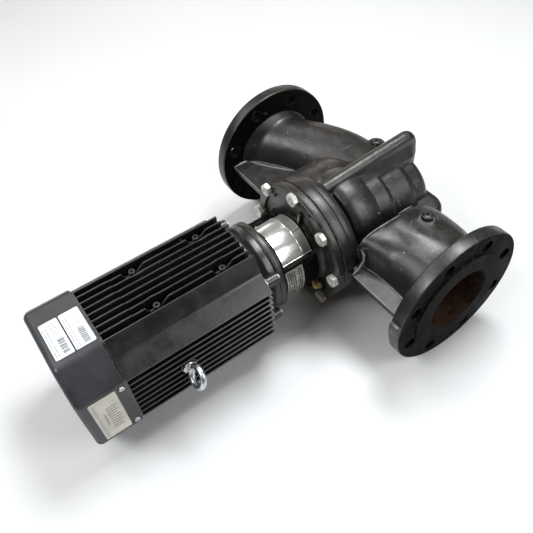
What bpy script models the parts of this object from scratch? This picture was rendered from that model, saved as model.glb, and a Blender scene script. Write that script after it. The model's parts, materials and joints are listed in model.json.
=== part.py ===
"""Inline circulator pump: a cast pump housing with two pipe flanges in one line, and a finned motor
that stands across it on a stool. The pump lies on its side, with its flange rims on the floor.

Lengths are in metres. Every sub-part is drawn about the pump's own centre, where the motor's axis (X)
crosses the pipe's axis (Y), and each object's location then lifts it so that the rims touch z = 0.
"""
import math

import bmesh
import bpy
from mathutils import Matrix, Vector

# Flanges: DN 100, PN 16
FLANGE_RADIUS = 0.110
FLANGE_FACE = 0.2250
FLANGE_RIM_FRONT = 0.2220
FLANGE_BACK = 0.2030
RAISED_FACE_RADIUS = 0.079
BOLT_CIRCLE_RADIUS = 0.090
BOLT_HOLE_RADIUS = 0.0095
BOLT_HOLES = 8
BORE_RADIUS = 0.050
BORE_END = 0.105
PIPE_RADIUS = 0.060
BAR_CREST = 0.1035

# The bores are turned by this share of a facet, so that their corners miss those of the flange faces
BORE_PHASE = 0.25

# Places along the motor's axis, from the pump's far end to the motor's fan end
FAR_END = 0.1190
HOUSING_FACE = -0.0952
HEAD_BACK = -0.0964
HEAD_FRONT = -0.1106
GUARD_PUMP_END = -0.1145
GUARD_MOTOR_END = -0.1660
STOOL_RING_PUMP_SIDE = -0.1740
STOOL_FACE = -0.1872
SHIELD_FACE = -0.1875
STATOR_FRONT = -0.2135
STATOR_BACK = -0.4300
COVER_FRONT = -0.4330
FAN_END = -0.4975

# Radii about the motor's axis
HEAD_RADIUS = 0.098
STOOL_RING_RADIUS = 0.0695
WALL_OUTER_RADIUS = 0.063
WALL_INNER_RADIUS = 0.0503
GUARD_RADIUS = 0.0500
GUARD_SHEET = 0.0012
SHAFT_RADIUS = 0.012
SHIELD_RADIUS = 0.078
CORE_RADIUS = 0.070

# The stool's walls and the guards between them, in degrees from the +Y side
NEAR_WALL = (151.0, 209.0)
FAR_WALL = (-22.0, 22.0)
GUARD_SPAN = (16.0, 158.0)

# Motor section
FIN_TIP = 0.0863
FIN_PITCH = 0.0115
FINS_PER_SIDE = 9
FIN_TIP_WIDTH = 0.0026
FIN_ROOT_WIDTH = 0.0040
VALLEY = 0.0620
FAN_SHAFT_RADIUS = 0.010

# Fan cover: half its width, the half width of its flat faces up to their corners, and the corners' radius
COVER_HALF = 0.0880
COVER_FLAT = 0.0505
COVER_ROUND = 0.0110
COVER_WALL = 0.0025

# Terminal box, under the motor as it lies, with its lid level with the flange rims
BOX_BACK = -0.3980
BOX_FRONT = -0.2920
BOX_HALF_WIDTH = 0.0450
BOX_SEAT = 0.0705
LID_SEAT = 0.1040
GLAND_DEPTH = 0.0890

# The clearance that separate pieces keep where they touch
FIT = 0.0003

# The part's origin is under the middle of its box, on the floor
ORIGIN = Vector((-(FAR_END + FAN_END) / 2, 0.0, FLANGE_RADIUS))

# Local Z is the turning axis or the direction of extrusion
ALONG_X = Matrix(((0, 0, 1), (1, 0, 0), (0, 1, 0))).to_4x4()
ALONG_Y = Matrix(((0, 1, 0), (0, 0, 1), (1, 0, 0))).to_4x4()
ALONG_Z = Matrix.Identity(4)

# Plugs in the pipes' upper sides: (x, y, top of its boss) and the boss's radius
OUTLET_TAPPING = ((0.033, -0.121, 0.0590), 0.0095)
INLET_TAPPING = ((0.0985, 0.056, 0.0500), 0.0100)

# Plug in the pump head's front: (y, z) and its radius
VENT_PLACE = (-0.056, -0.044)
VENT_RADIUS = 0.0075

# Eyebolt: middle of its ring, and how far the ring is turned from lying level
EYE_CENTER = Vector((-0.3510, -0.1065, 0.0))
EYE_TURN = math.radians(-68)
EYE_MEAN_RADIUS = 0.0143
EYE_BAR_RADIUS = 0.0042


def clear_scene():
    for obj in list(bpy.data.objects):
        bpy.data.objects.remove(obj, do_unlink=True)


def material(name, color, roughness, metallic=0.0):
    mat = bpy.data.materials.new(name)
    mat.use_nodes = True
    shader = mat.node_tree.nodes["Principled BSDF"]
    shader.inputs["Base Color"].default_value = (*color, 1.0)
    shader.inputs["Roughness"].default_value = roughness
    shader.inputs["Metallic"].default_value = metallic
    mat.diffuse_color = (*color, 1.0)
    return mat


def solid(bm, frame=ALONG_Z):
    """Turns a bmesh drawn in a local frame into an object with outward faces."""
    bm.transform(frame)
    bmesh.ops.recalc_face_normals(bm, faces=bm.faces)
    mesh = bpy.data.meshes.new("solid")
    bm.to_mesh(mesh)
    bm.free()
    obj = bpy.data.objects.new("solid", mesh)
    bpy.context.scene.collection.objects.link(obj)
    return obj


def combine(base, tool, operation):
    """Joins or cuts one solid with another, and drops the tool."""
    boolean = base.modifiers.new("combine", "BOOLEAN")
    boolean.solver = "EXACT"
    boolean.operation = operation
    boolean.object = tool
    depsgraph = bpy.context.evaluated_depsgraph_get()
    mesh = bpy.data.meshes.new_from_object(base.evaluated_get(depsgraph))
    base.modifiers.clear()
    base.data = mesh
    bpy.data.objects.remove(tool, do_unlink=True)
    return base


def join(base, *tools):
    for tool in tools:
        combine(base, tool, "UNION")
    return base


def cut(base, *tools):
    for tool in tools:
        combine(base, tool, "DIFFERENCE")
    return base


def publish(obj, name, mat, angle=35):
    """Names a finished sub-part, shades it and moves it to its place on the floor."""
    obj.name = name
    obj.data.name = name
    obj.data.materials.clear()
    obj.data.materials.append(mat)
    obj.data.shade_smooth()
    obj.data.set_sharp_from_angle(angle=math.radians(angle))
    obj.location = ORIGIN
    return obj


def skin(bm, loops, closed=False):
    """Bridges successive loops, where a single vertex closes the surface to a point."""
    pairs = list(zip(loops, loops[1:]))
    if closed:
        pairs.append((loops[-1], loops[0]))
    for low, high in pairs:
        count = max(len(low), len(high))
        for i in range(count):
            j = (i + 1) % count
            if len(low) == 1:
                bm.faces.new((low[0], high[i], high[j]))
            elif len(high) == 1:
                bm.faces.new((low[i], low[j], high[0]))
            else:
                bm.faces.new((low[i], low[j], high[j], high[i]))


def turned(profile, frame=ALONG_X, center=(0.0, 0.0), segments=36, closed=False, phase=0.0):
    """Turns a profile of (place on the axis, radius) points about the frame's local Z axis."""
    bm = bmesh.new()
    loops = []
    for place, radius in profile:
        if radius < 1e-6:
            loops.append([bm.verts.new((center[0], center[1], place))])
            continue
        loop = []
        for i in range(segments):
            angle = 2 * math.pi * (i + phase) / segments
            x = center[0] + radius * math.cos(angle)
            y = center[1] + radius * math.sin(angle)
            loop.append(bm.verts.new((x, y, place)))
        loops.append(loop)
    skin(bm, loops, closed)
    return solid(bm, frame)


def rod(start, end, radius, frame=ALONG_X, center=(0.0, 0.0), segments=24, phase=0.0):
    profile = [(start, 0), (start, radius), (end, radius), (end, 0)]
    return turned(profile, frame, center, segments, phase=phase)


def ring(start, end, inner, outer, frame=ALONG_X, center=(0.0, 0.0), segments=36):
    profile = [(start, inner), (start, outer), (end, outer), (end, inner)]
    return turned(profile, frame, center, segments, closed=True)


def prism(outline, start, end, frame=ALONG_X):
    """Extrudes an outline, drawn in the frame's local X and Y, along its local Z."""
    bm = bmesh.new()
    low = [bm.verts.new((x, y, start)) for x, y in outline]
    high = [bm.verts.new((x, y, end)) for x, y in outline]
    skin(bm, [low, high])
    bm.faces.new(low)
    bm.faces.new(high)
    return solid(bm, frame)


def box(low, high):
    outline = [(low[0], low[1]), (high[0], low[1]), (high[0], high[1]), (low[0], high[1])]
    return prism(outline, low[2], high[2], ALONG_Z)


def arc(center, radius, start, end, steps):
    """Points on an arc, with its angles in degrees."""
    points = []
    for i in range(steps + 1):
        angle = math.radians(start + (end - start) * i / steps)
        points.append((center[0] + radius * math.cos(angle), center[1] + radius * math.sin(angle)))
    return points


def sector(start, end, inner, outer, first, last, steps=16):
    """A piece of tube about the motor's axis, between two angles in degrees from the +Y side."""
    outline = arc((0, 0), outer, first, last, steps) + arc((0, 0), inner, last, first, steps)
    return prism(outline, start, end, ALONG_X)


def rounded_rectangle(half_x, half_y, corner, steps=6, middle=(0.0, 0.0)):
    outline = []
    for k, (sx, sy) in enumerate(((1, 1), (-1, 1), (-1, -1), (1, -1))):
        center = (middle[0] + sx * (half_x - corner), middle[1] + sy * (half_y - corner))
        outline += arc(center, corner, 90 * k, 90 * k + 90, steps)
    return outline


def loft(outlines, frame=ALONG_X):
    """Skins outlines of equal count, each given with its place along the frame's local Z."""
    bm = bmesh.new()
    loops = [[bm.verts.new((x, y, place)) for x, y in outline] for place, outline in outlines]
    skin(bm, loops)
    bm.faces.new(loops[0])
    bm.faces.new(loops[-1])
    return solid(bm, frame)


def oval(half_across, half_up, squareness=2.0, segments=32, phase=0.0):
    """A round outline, squarer on its negative side where squareness is over 2."""
    outline = []
    for i in range(segments):
        across = math.cos(2 * math.pi * (i + phase) / segments)
        up = math.sin(2 * math.pi * (i + phase) / segments)
        power = 2 / squareness if across < 0 else 1.0
        across = math.copysign(abs(across) ** power, across)
        up = math.copysign(abs(up) ** power, up)
        outline.append((half_across * across, half_up * up))
    return outline


def pipe(sections, phase=0.0):
    """A pipe body along Y. Each section is (y, middle in x, half width, half height, squareness)."""
    outlines = []
    for y, middle, half_width, half_height, squareness in sections:
        outline = oval(half_width, half_height, squareness, phase=phase)
        outlines.append((y, [(up, middle + across) for across, up in outline]))
    return loft(outlines, ALONG_Y)


def eased(distance, length):
    """How far a slope has led after a distance, where it starts gently over the given length."""
    if distance <= 0:
        return 0.0
    if distance < length:
        return distance * distance / (2 * length)
    return distance - length / 2


def suction_middle(y):
    """Where the suction pipe's middle lies in x: it slopes from the flange and levels out inwards."""
    slope = 0.664
    slope_start = 0.209
    level_start = 0.165
    return slope * (eased(slope_start - y, 0.012) - eased(level_start - y, 0.100))


def suction_sections(rows):
    """Sections of the suction pipe or of its bore, from (y, radius) rows."""
    return [(y, suction_middle(y), radius, radius, 2.0) for y, radius in rows]


def suction_pipe():
    """From the far flange, with its fillet, to the chamber behind the impeller."""
    rows = [(0.2100, PIPE_RADIUS + 0.010), (0.2025, PIPE_RADIUS + 0.010), (0.1990, PIPE_RADIUS + 0.005)]
    rows += [(0.1950, PIPE_RADIUS + 0.002), (0.1890, PIPE_RADIUS)]
    rows += [(y, PIPE_RADIUS) for y in (0.1640, 0.1440, 0.1240, 0.1040, 0.0840, 0.0640, -0.0150)]
    return pipe(suction_sections(rows))


def suction_bore():
    places = (0.2400, 0.2090, 0.2035, 0.1975, 0.1855, 0.1655, 0.1455, 0.1255, BORE_END)
    return pipe(suction_sections([(y, BORE_RADIUS) for y in places]), BORE_PHASE)


def discharge_sections():
    """From the near flange, straight on its motor side and widening towards the volute."""
    return [
        (-0.2150, 0.0000, 0.0570, 0.0570, 2.0),
        (-0.1950, 0.0040, 0.0620, 0.0580, 2.0),
        (-0.1800, 0.0110, 0.0685, 0.0585, 2.0),
        (-0.1640, 0.0155, 0.0725, 0.0590, 2.0),
        (-0.1350, 0.0165, 0.0735, 0.0590, 2.2),
        (-0.1130, 0.0152, 0.0748, 0.0575, 3.0),
        (-0.0980, 0.0130, 0.0770, 0.0555, 4.4),
        (-0.0905, 0.0115, 0.0783, 0.0538, 5.0),
        (-0.0888, 0.0120, 0.0765, 0.0400, 4.0),
        (-0.0480, 0.0150, 0.0700, 0.0300, 3.0),
    ]


def near_fillet():
    """The fillet that carries the near flange on its pipe."""
    profile = [
        (FLANGE_BACK - 0.022, 0),
        (FLANGE_BACK - 0.022, PIPE_RADIUS - 0.003),
        (FLANGE_BACK - 0.008, PIPE_RADIUS + 0.003),
        (FLANGE_BACK + 0.0018, PIPE_RADIUS + 0.011),
        (FLANGE_BACK + 0.0018, 0),
    ]
    return turned([(-place, radius) for place, radius in profile], ALONG_Y, segments=48)


def pipe_flange(side):
    """One flange with its raised face."""
    edge = 0.002
    profile = [
        (FLANGE_BACK, 0),
        (FLANGE_BACK, FLANGE_RADIUS - edge),
        (FLANGE_BACK + edge, FLANGE_RADIUS),
        (FLANGE_RIM_FRONT - edge, FLANGE_RADIUS),
        (FLANGE_RIM_FRONT, FLANGE_RADIUS - edge),
        (FLANGE_RIM_FRONT, RAISED_FACE_RADIUS + 0.001),
        (FLANGE_FACE, RAISED_FACE_RADIUS),
        (FLANGE_FACE, 0),
    ]
    profile = [(side * place, radius) for place, radius in profile]
    return turned(profile, ALONG_Y, segments=48)


def cut_flange_holes(body, side):
    reach = 0.012
    places = sorted((side * (FLANGE_BACK - reach), side * (FLANGE_FACE + reach)))
    for i in range(BOLT_HOLES):
        angle = 2 * math.pi * (i + 0.5) / BOLT_HOLES
        center = (BOLT_CIRCLE_RADIUS * math.cos(angle), BOLT_CIRCLE_RADIUS * math.sin(angle))
        cut(body, rod(places[0], places[1], BOLT_HOLE_RADIUS, ALONG_Y, center, 12))


def edge_on_crest(mesh, edge, side, root):
    ends = [mesh.vertices[i].co for i in edge.vertices]
    same_side = abs(ends[0].y - ends[1].y) < 1e-6
    return same_side and min(side * end.z for end in ends) > root + 0.009


def bevel_edges(obj, indices, width):
    """Rounds the chosen edges of a solid."""
    bm = bmesh.new()
    bm.from_mesh(obj.data)
    bm.edges.ensure_lookup_table()
    chosen = [bm.edges[index] for index in indices]
    bmesh.ops.bevel(bm, geom=chosen, offset=width, segments=3, profile=0.5, affect="EDGES")
    bm.to_mesh(obj.data)
    bm.free()
    return obj


def rib_bar(side):
    """The bar along the motor's axis, with its half-round edge, above or below the volute."""
    half_width = 0.011
    start = (-0.0850, 0.0875)
    end = (FAR_END, BAR_CREST)
    root = 0.030
    nose = 0.020
    profile = [(start[0], root), (end[0] - 0.002, root), (end[0], root + 0.010)]
    profile += [(end[0] - nose + u, end[1] - nose + v) for u, v in arc((0, 0), nose, 0, 84, 5)]
    profile += [(start[0], start[1])]
    outline = [(side * up, along) for along, up in profile]
    bar = prism(outline, -half_width, half_width, ALONG_Y)
    crest = [edge.index for edge in bar.data.edges if edge_on_crest(bar.data, edge, side, root)]
    return bevel_edges(bar, crest, 0.9 * half_width)


def side_bar():
    """The end of a like bar in the middle plane, where it stands clear of the near pipe."""
    half_thick = 0.011
    nose = 0.022
    crest = -0.0940
    outline = [(0.040, -0.040), (FAR_END - 0.001, -0.030)]
    outline += arc((FAR_END - 0.001 - nose, crest + nose), nose, 0, -90, 5)
    outline += [(0.040, crest)]
    return prism(outline, -half_thick, half_thick, ALONG_Z)


def mid_web(side):
    """The flat rib in the middle plane, from a pipe flange's back to the housing's flange."""
    half_thick = 0.0045
    outline = [(-0.030, 0.2040), (-0.086, 0.2040), (-0.086, 0.1080), (-0.080, 0.0980), (-0.0785, 0.0800)]
    outline += [(0.010, 0.0500), (0.020, 0.1200)]
    outline = [(x, side * y) for x, y in outline]
    return prism(outline, -half_thick, half_thick, ALONG_Z)


def pump_housing(mat):
    """The casting: volute, suction chamber, both pipes with their flanges, webs and bars."""
    drums = [
        (HOUSING_FACE + 0.002, 0.070, 0.0880),
        (-0.012, 0.071, 0.0880),
        (-0.007, 0.067, 0.0735),
        (0.026, 0.069, 0.0735),
        (0.031, 0.064, 0.0640),
        (0.070, 0.067, 0.0640),
        (0.077, 0.064, 0.0600),
        (0.081, 0.060, 0.0580),
        (0.100, 0.060, 0.0575),
        (0.110, 0.054, 0.0520),
        (0.116, 0.042, 0.0400),
        (0.118, 0.026, 0.0250),
    ]
    scroll = [
        (-0.090, 0),
        (-0.090, 0.076),
        (-0.070, 0.078),
        (-0.020, 0.078),
        (0.002, 0.076),
        (0.016, 0.068),
        (0.028, 0.056),
        (0.038, 0.040),
        (0.044, 0.022),
        (0.046, 0),
    ]
    flange = [
        (HOUSING_FACE, 0),
        (HOUSING_FACE, HEAD_RADIUS - 0.0015),
        (HOUSING_FACE + 0.0015, HEAD_RADIUS),
        (-0.0790, HEAD_RADIUS),
        (-0.0775, HEAD_RADIUS - 0.002),
        (-0.0700, 0.086),
        (-0.0600, 0),
    ]
    body = loft([(place, oval(across, up)) for place, across, up in drums], ALONG_X)
    join(body, turned(scroll, center=(0.026, 0.0)), turned(flange, segments=48))
    join(body, pipe(discharge_sections()), suction_pipe(), near_fillet())
    join(body, mid_web(1), mid_web(-1), rib_bar(1), rib_bar(-1), side_bar())
    join(body, pipe_flange(1), pipe_flange(-1))
    for center, radius in (OUTLET_TAPPING, INLET_TAPPING):
        join(body, rod(center[2] - 0.020, center[2], radius, ALONG_Z, center[:2], 20))
    near_bore = rod(-0.2400, -BORE_END, BORE_RADIUS, ALONG_Y, segments=32, phase=BORE_PHASE)
    cut(body, near_bore, suction_bore())
    cut_flange_holes(body, 1)
    cut_flange_holes(body, -1)
    return publish(body, "pump_housing", mat)


def housing_gasket(mat):
    """The flat ring in the joint between the housing and the head."""
    body = ring(HEAD_BACK + FIT, HOUSING_FACE - FIT, 0.060, HEAD_RADIUS - 0.003)
    return publish(body, "housing_gasket", mat)


def motor_stool(mat):
    """One casting: the pump head with its flange, the seal housing, two side walls, motor ring."""
    edge = 0.0012
    head = [
        (HEAD_BACK, SHAFT_RADIUS + FIT),
        (HEAD_BACK, HEAD_RADIUS),
        (HEAD_FRONT + edge, HEAD_RADIUS),
        (HEAD_FRONT, HEAD_RADIUS - edge),
        (HEAD_FRONT, 0.036),
        (HEAD_FRONT - 0.008, 0.028),
        (HEAD_FRONT - 0.008, SHAFT_RADIUS + FIT),
    ]
    motor_ring = [
        (STOOL_FACE, 0.046),
        (STOOL_FACE, STOOL_RING_RADIUS - edge),
        (STOOL_FACE + edge, STOOL_RING_RADIUS),
        (STOOL_RING_PUMP_SIDE - 0.004, STOOL_RING_RADIUS),
        (STOOL_RING_PUMP_SIDE, WALL_OUTER_RADIUS),
        (STOOL_RING_PUMP_SIDE, 0.046),
    ]
    body = turned(head, segments=48, closed=True)
    for first, last in (NEAR_WALL, FAR_WALL):
        start = STOOL_RING_PUMP_SIDE - 0.005
        end = HEAD_FRONT + 0.005
        wall = sector(start, end, WALL_INNER_RADIUS, WALL_OUTER_RADIUS, first, last, 8)
        join(body, wall)
    join(body, turned(motor_ring, closed=True))
    vent_boss = rod(HEAD_FRONT - 0.002, HEAD_FRONT + 0.003, VENT_RADIUS + 0.003, ALONG_X, VENT_PLACE, 20)
    join(body, vent_boss)
    return publish(body, "motor_stool", mat)


def coupling_guard(name, side, mat):
    """A bent sheet across one window of the stool, with its edges folded out along the walls."""
    inner = GUARD_RADIUS - GUARD_SHEET
    lip_height = 0.057
    lip_turn = 1.0
    body = sector(GUARD_MOTOR_END, GUARD_PUMP_END, inner, GUARD_RADIUS, GUARD_SPAN[0], GUARD_SPAN[1], 16)
    near_lip = (NEAR_WALL[0] - 0.6 - lip_turn, NEAR_WALL[0] - 0.6)
    far_lip = (FAR_WALL[1] + 0.6, FAR_WALL[1] + 0.6 + lip_turn)
    for first, last in (near_lip, far_lip):
        start = GUARD_MOTOR_END + 0.001
        end = GUARD_PUMP_END - 0.001
        join(body, sector(start, end, GUARD_RADIUS - 0.0005, lip_height, first, last, 2))
    if side < 0:
        body.data.transform(Matrix.Scale(-1, 4, Vector((0, 0, 1))))
        body.data.flip_normals()
    return publish(body, name, mat)


def pump_shaft(mat):
    body = rod(SHIELD_FACE + 0.001, HEAD_BACK - 0.0015, SHAFT_RADIUS)
    return publish(body, "pump_shaft", mat)


def shaft_coupling(mat):
    """The clamped sleeve that joins the motor's shaft to the pump's shaft."""
    inner = SHAFT_RADIUS + FIT
    profile = [
        (-0.1690, inner),
        (-0.1690, 0.034),
        (-0.1680, 0.035),
        (-0.1480, 0.035),
        (-0.1470, 0.032),
        (-0.1430, 0.032),
        (-0.1420, 0.035),
        (-0.1240, 0.035),
        (-0.1230, 0.034),
        (-0.1230, inner),
    ]
    return publish(turned(profile, closed=True), "shaft_coupling", mat)


def drive_end_shield(mat):
    """The motor's cast end, with the flange that meets the stool and four bolt lugs."""
    profile = [
        (SHIELD_FACE, 0),
        (SHIELD_FACE, STOOL_RING_RADIUS),
        (-0.1985, STOOL_RING_RADIUS),
        (-0.2010, STOOL_RING_RADIUS + 0.002),
        (-0.2110, SHIELD_RADIUS),
        (STATOR_FRONT + FIT, SHIELD_RADIUS),
        (STATOR_FRONT + FIT, 0),
    ]
    body = turned(profile)
    for sy in (-1, 1):
        for sz in (-1, 1):
            center = (sy * 0.0640, sz * 0.0400)
            join(body, rod(-0.2080, -0.1910, 0.0085, ALONG_X, center, 20))
    return publish(body, "drive_end_shield", mat)


def fin_root_height(offset):
    return math.sqrt(CORE_RADIUS ** 2 - offset ** 2)


def stator_outline():
    """The finned section, one side at a time, with a shallow groove at each corner."""
    middle = (FINS_PER_SIDE - 1) / 2
    side = [(VALLEY + 0.0020, VALLEY - 0.0020), (VALLEY - 0.0020, VALLEY + 0.0020)]
    for k in range(FINS_PER_SIDE):
        y = (middle - k) * FIN_PITCH
        right = (y + FIN_ROOT_WIDTH / 2, fin_root_height(y + FIN_ROOT_WIDTH / 2))
        left = (y - FIN_ROOT_WIDTH / 2, fin_root_height(y - FIN_ROOT_WIDTH / 2))
        if k > 0:
            side.append(right)
        side.append((y + FIN_TIP_WIDTH / 2, FIN_TIP))
        side.append((y - FIN_TIP_WIDTH / 2, FIN_TIP))
        if k < FINS_PER_SIDE - 1:
            side.append(left)
    outline = []
    for quarter in range(4):
        turn = Matrix.Rotation(math.radians(90 * quarter), 2)
        outline += [tuple(turn @ Vector(point)) for point in side]
    return outline


def ring_bosses(body):
    """Four tapped bosses in the line of a fin, where the upper fins are cut lower."""
    low_tip = 0.0765
    boss_tip = 0.0820
    for x in (-0.353, -0.255):
        for y in (-3 * FIN_PITCH, 3 * FIN_PITCH):
            cut(body, box((x - 0.013, y - 0.004, low_tip), (x + 0.013, y + 0.004, FIN_TIP + 0.010)))
            join(body, rod(0.050, boss_tip, 0.0055, ALONG_Z, (x, y), 16))
            cut(body, rod(boss_tip - 0.008, boss_tip + 0.005, 0.0028, ALONG_Z, (x, y), 12))
    return body


def stator_housing(mat):
    body = prism(stator_outline(), STATOR_BACK, STATOR_FRONT, ALONG_X)
    ring_bosses(body)
    seat_low = (BOX_BACK - 0.003, -BOX_HALF_WIDTH - 0.0028, -0.150)
    seat_high = (BOX_FRONT + 0.003, 0.150, -BOX_SEAT + FIT)
    cut(body, box(seat_low, seat_high))
    eye_seat = rod(-FIN_TIP, -0.060, 0.0115, ALONG_Y, (EYE_CENTER.z, EYE_CENTER.x), 16)
    join(body, eye_seat)
    return publish(body, "stator_housing", mat)


def cover_outline(inset, steps=3):
    """The fan cover's section, a square with broad chamfers and rounded corners, drawn inset."""
    half = COVER_HALF - COVER_ROUND
    reach = COVER_FLAT - (math.sqrt(2) - 1) * COVER_ROUND
    radius = COVER_ROUND - inset
    corner = arc((half, reach), radius, 0, 45, steps) + arc((reach, half), radius, 45, 90, steps)
    outline = []
    for quarter in range(4):
        turn = Matrix.Rotation(math.radians(90 * quarter), 2)
        outline += [tuple(turn @ Vector(point)) for point in corner]
    return outline


def fan_end_shield(mat):
    """The motor's plain end behind the fins, which carries the fan cover."""
    body = prism(cover_outline(COVER_WALL + FIT), -0.4440, STATOR_BACK - FIT, ALONG_X)
    cut(body, rod(-0.4600, -0.4200, FAN_SHAFT_RADIUS + FIT))
    return publish(body, "fan_end_shield", mat)


def fan_shaft(mat):
    body = rod(-0.4780, STATOR_BACK - FIT, FAN_SHAFT_RADIUS)
    return publish(body, "fan_shaft", mat)


def cooling_fan(mat):
    """A hub, a disc and straight blades, pressed on the end of the motor's shaft."""
    hub = 0.020
    reach = 0.068
    blades = 9
    body = ring(-0.4760, -0.4480, FAN_SHAFT_RADIUS + FIT, hub)
    join(body, ring(-0.4520, -0.4490, hub - 0.002, reach))
    for i in range(blades):
        blade = box((-0.4750, hub - 0.003, -0.0012), (-0.4510, reach - 0.002, 0.0012))
        blade.data.transform(Matrix.Rotation(2 * math.pi * i / blades, 4, "X"))
        join(body, blade)
    return publish(body, "cooling_fan", mat)


def cover_shell(inset):
    """The fan cover's bowl, drawn smaller by an inset for its hollow."""
    round_over = 0.0075
    front = COVER_FRONT + (0.010 if inset > 0 else 0.0)
    steps = [(front, 0.0)]
    for across, along in arc((0, 0), round_over, 0, 90, 4):
        steps.append((FAN_END + inset + round_over - along, round_over - across))
    outlines = []
    for place, pull in steps:
        outlines.append((place, cover_outline(inset + pull)))
    return loft(outlines, ALONG_X)


def fan_cover(mat):
    """The pressed cover over the fan, with rings of air slots in its end."""
    body = cover_shell(0.0)
    cut(body, cover_shell(COVER_WALL))
    slot_width = 0.0055
    slot_pitch = 0.0115
    arms = 6
    spoke = 9.0
    for row in range(4):
        inner = 0.022 + row * slot_pitch
        for k in range(arms):
            first = 360 * k / arms + spoke / 2 + 30 * (row % 2)
            last = 360 * (k + 1) / arms - spoke / 2 + 30 * (row % 2)
            cut(body, sector(FAN_END - 0.010, FAN_END + 0.008, inner, inner + slot_width, first, last, 4))
    return publish(body, "fan_cover", mat)


def terminal_box(mat):
    middle = ((BOX_BACK + BOX_FRONT) / 2, 0.0)
    half_x = (BOX_FRONT - BOX_BACK) / 2
    outline = rounded_rectangle(half_x, BOX_HALF_WIDTH, 0.008, 5, middle)
    body = prism(outline, -LID_SEAT + FIT, -BOX_SEAT, ALONG_Z)
    return publish(body, "terminal_box", mat)


def terminal_box_lid(mat):
    middle = ((BOX_BACK + BOX_FRONT) / 2, 0.0)
    half_x = (BOX_FRONT - BOX_BACK) / 2
    edge = 0.0015
    top = rounded_rectangle(half_x + 0.001, BOX_HALF_WIDTH + 0.001, 0.009, 5, middle)
    rim = rounded_rectangle(half_x + 0.001 - edge, BOX_HALF_WIDTH + 0.001 - edge, 0.009 - edge, 5, middle)
    body = loft([(-FLANGE_RADIUS, rim), (-FLANGE_RADIUS + edge, top), (-LID_SEAT, top)], ALONG_Z)
    return publish(body, "terminal_box_lid", mat)


def cable_gland(mat):
    """A gland with its sealing nut, where the supply cable would enter."""
    start = BOX_HALF_WIDTH + FIT
    profile = [
        (start, 0),
        (start, 0.0115),
        (start + 0.006, 0.0115),
        (start + 0.006, 0.0100),
        (start + 0.009, 0.0100),
        (start + 0.009, 0.0120),
        (start + 0.018, 0.0120),
        (start + 0.023, 0.0085),
        (start + 0.023, 0.0050),
        (start + 0.016, 0.0050),
        (start + 0.016, 0),
    ]
    body = turned(profile, ALONG_Y, (-GLAND_DEPTH, BOX_BACK + 0.030), 16)
    return publish(body, "cable_gland", mat)


def entry_plug(mat):
    start = BOX_HALF_WIDTH + FIT
    profile = [(start, 0), (start, 0.0115), (start + 0.004, 0.0115), (start + 0.006, 0.0095), (start + 0.006, 0)]
    body = turned(profile, ALONG_Y, (-GLAND_DEPTH, BOX_FRONT - 0.030), 16)
    return publish(body, "entry_plug", mat)


def lifting_eyebolt(mat):
    """A ring on a collar, screwed into the boss on the motor's side."""
    steps = 8
    profile = []
    for i in range(steps):
        angle = 2 * math.pi * i / steps
        place = EYE_BAR_RADIUS * math.sin(angle)
        profile.append((place, EYE_MEAN_RADIUS + EYE_BAR_RADIUS * math.cos(angle)))
    place_ring = Matrix.Translation(EYE_CENTER) @ Matrix.Rotation(EYE_TURN, 4, "Y")
    body = turned(profile, place_ring, segments=24, closed=True)
    foot = -FIN_TIP - FIT
    shank = [
        (EYE_CENTER.y + 0.0120, 0),
        (EYE_CENTER.y + 0.0120, 0.0045),
        (foot - 0.0030, 0.0065),
        (foot - 0.0020, 0.0095),
        (foot, 0.0095),
        (foot, 0),
    ]
    join(body, turned(shank, ALONG_Y, (EYE_CENTER.z, EYE_CENTER.x), 16))
    return publish(body, "lifting_eyebolt", mat)


def hex_plug(name, start, end, radius, frame, center, mat):
    """A screwed plug: a round collar on its seat and a hexagon head."""
    collar = start + 0.3 * (end - start)
    body = rod(min(start, collar), max(start, collar), radius, frame, center, 20)
    low, high = sorted((start + 0.2 * (end - start), end))
    join(body, rod(low, high, 0.88 * radius, frame, center, 6, 0.5))
    return publish(body, name, mat)


def tapping_plug(name, tapping, mat):
    center, boss_radius = tapping
    start = center[2] + FIT
    return hex_plug(name, start, start + 0.004, 0.75 * boss_radius, ALONG_Z, center[:2], mat)


def nameplate(mat):
    inner = WALL_OUTER_RADIUS + FIT
    body = sector(-0.1725, -0.1430, inner, inner + 0.0008, 155, 206, 8)
    return publish(body, "nameplate", mat)


def cover_label(name, low, high, face, mat):
    """A plain sticker on the fan cover, flat on its top (+Z) or on its near side (-Y)."""
    thick = 0.0004
    if face == "top":
        body = box((low[0], low[1], COVER_HALF + FIT), (high[0], high[1], COVER_HALF + FIT + thick))
    else:
        body = box((low[0], -COVER_HALF - FIT - thick, low[1]), (high[0], -COVER_HALF - FIT, high[1]))
    return publish(body, name, mat)


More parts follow.
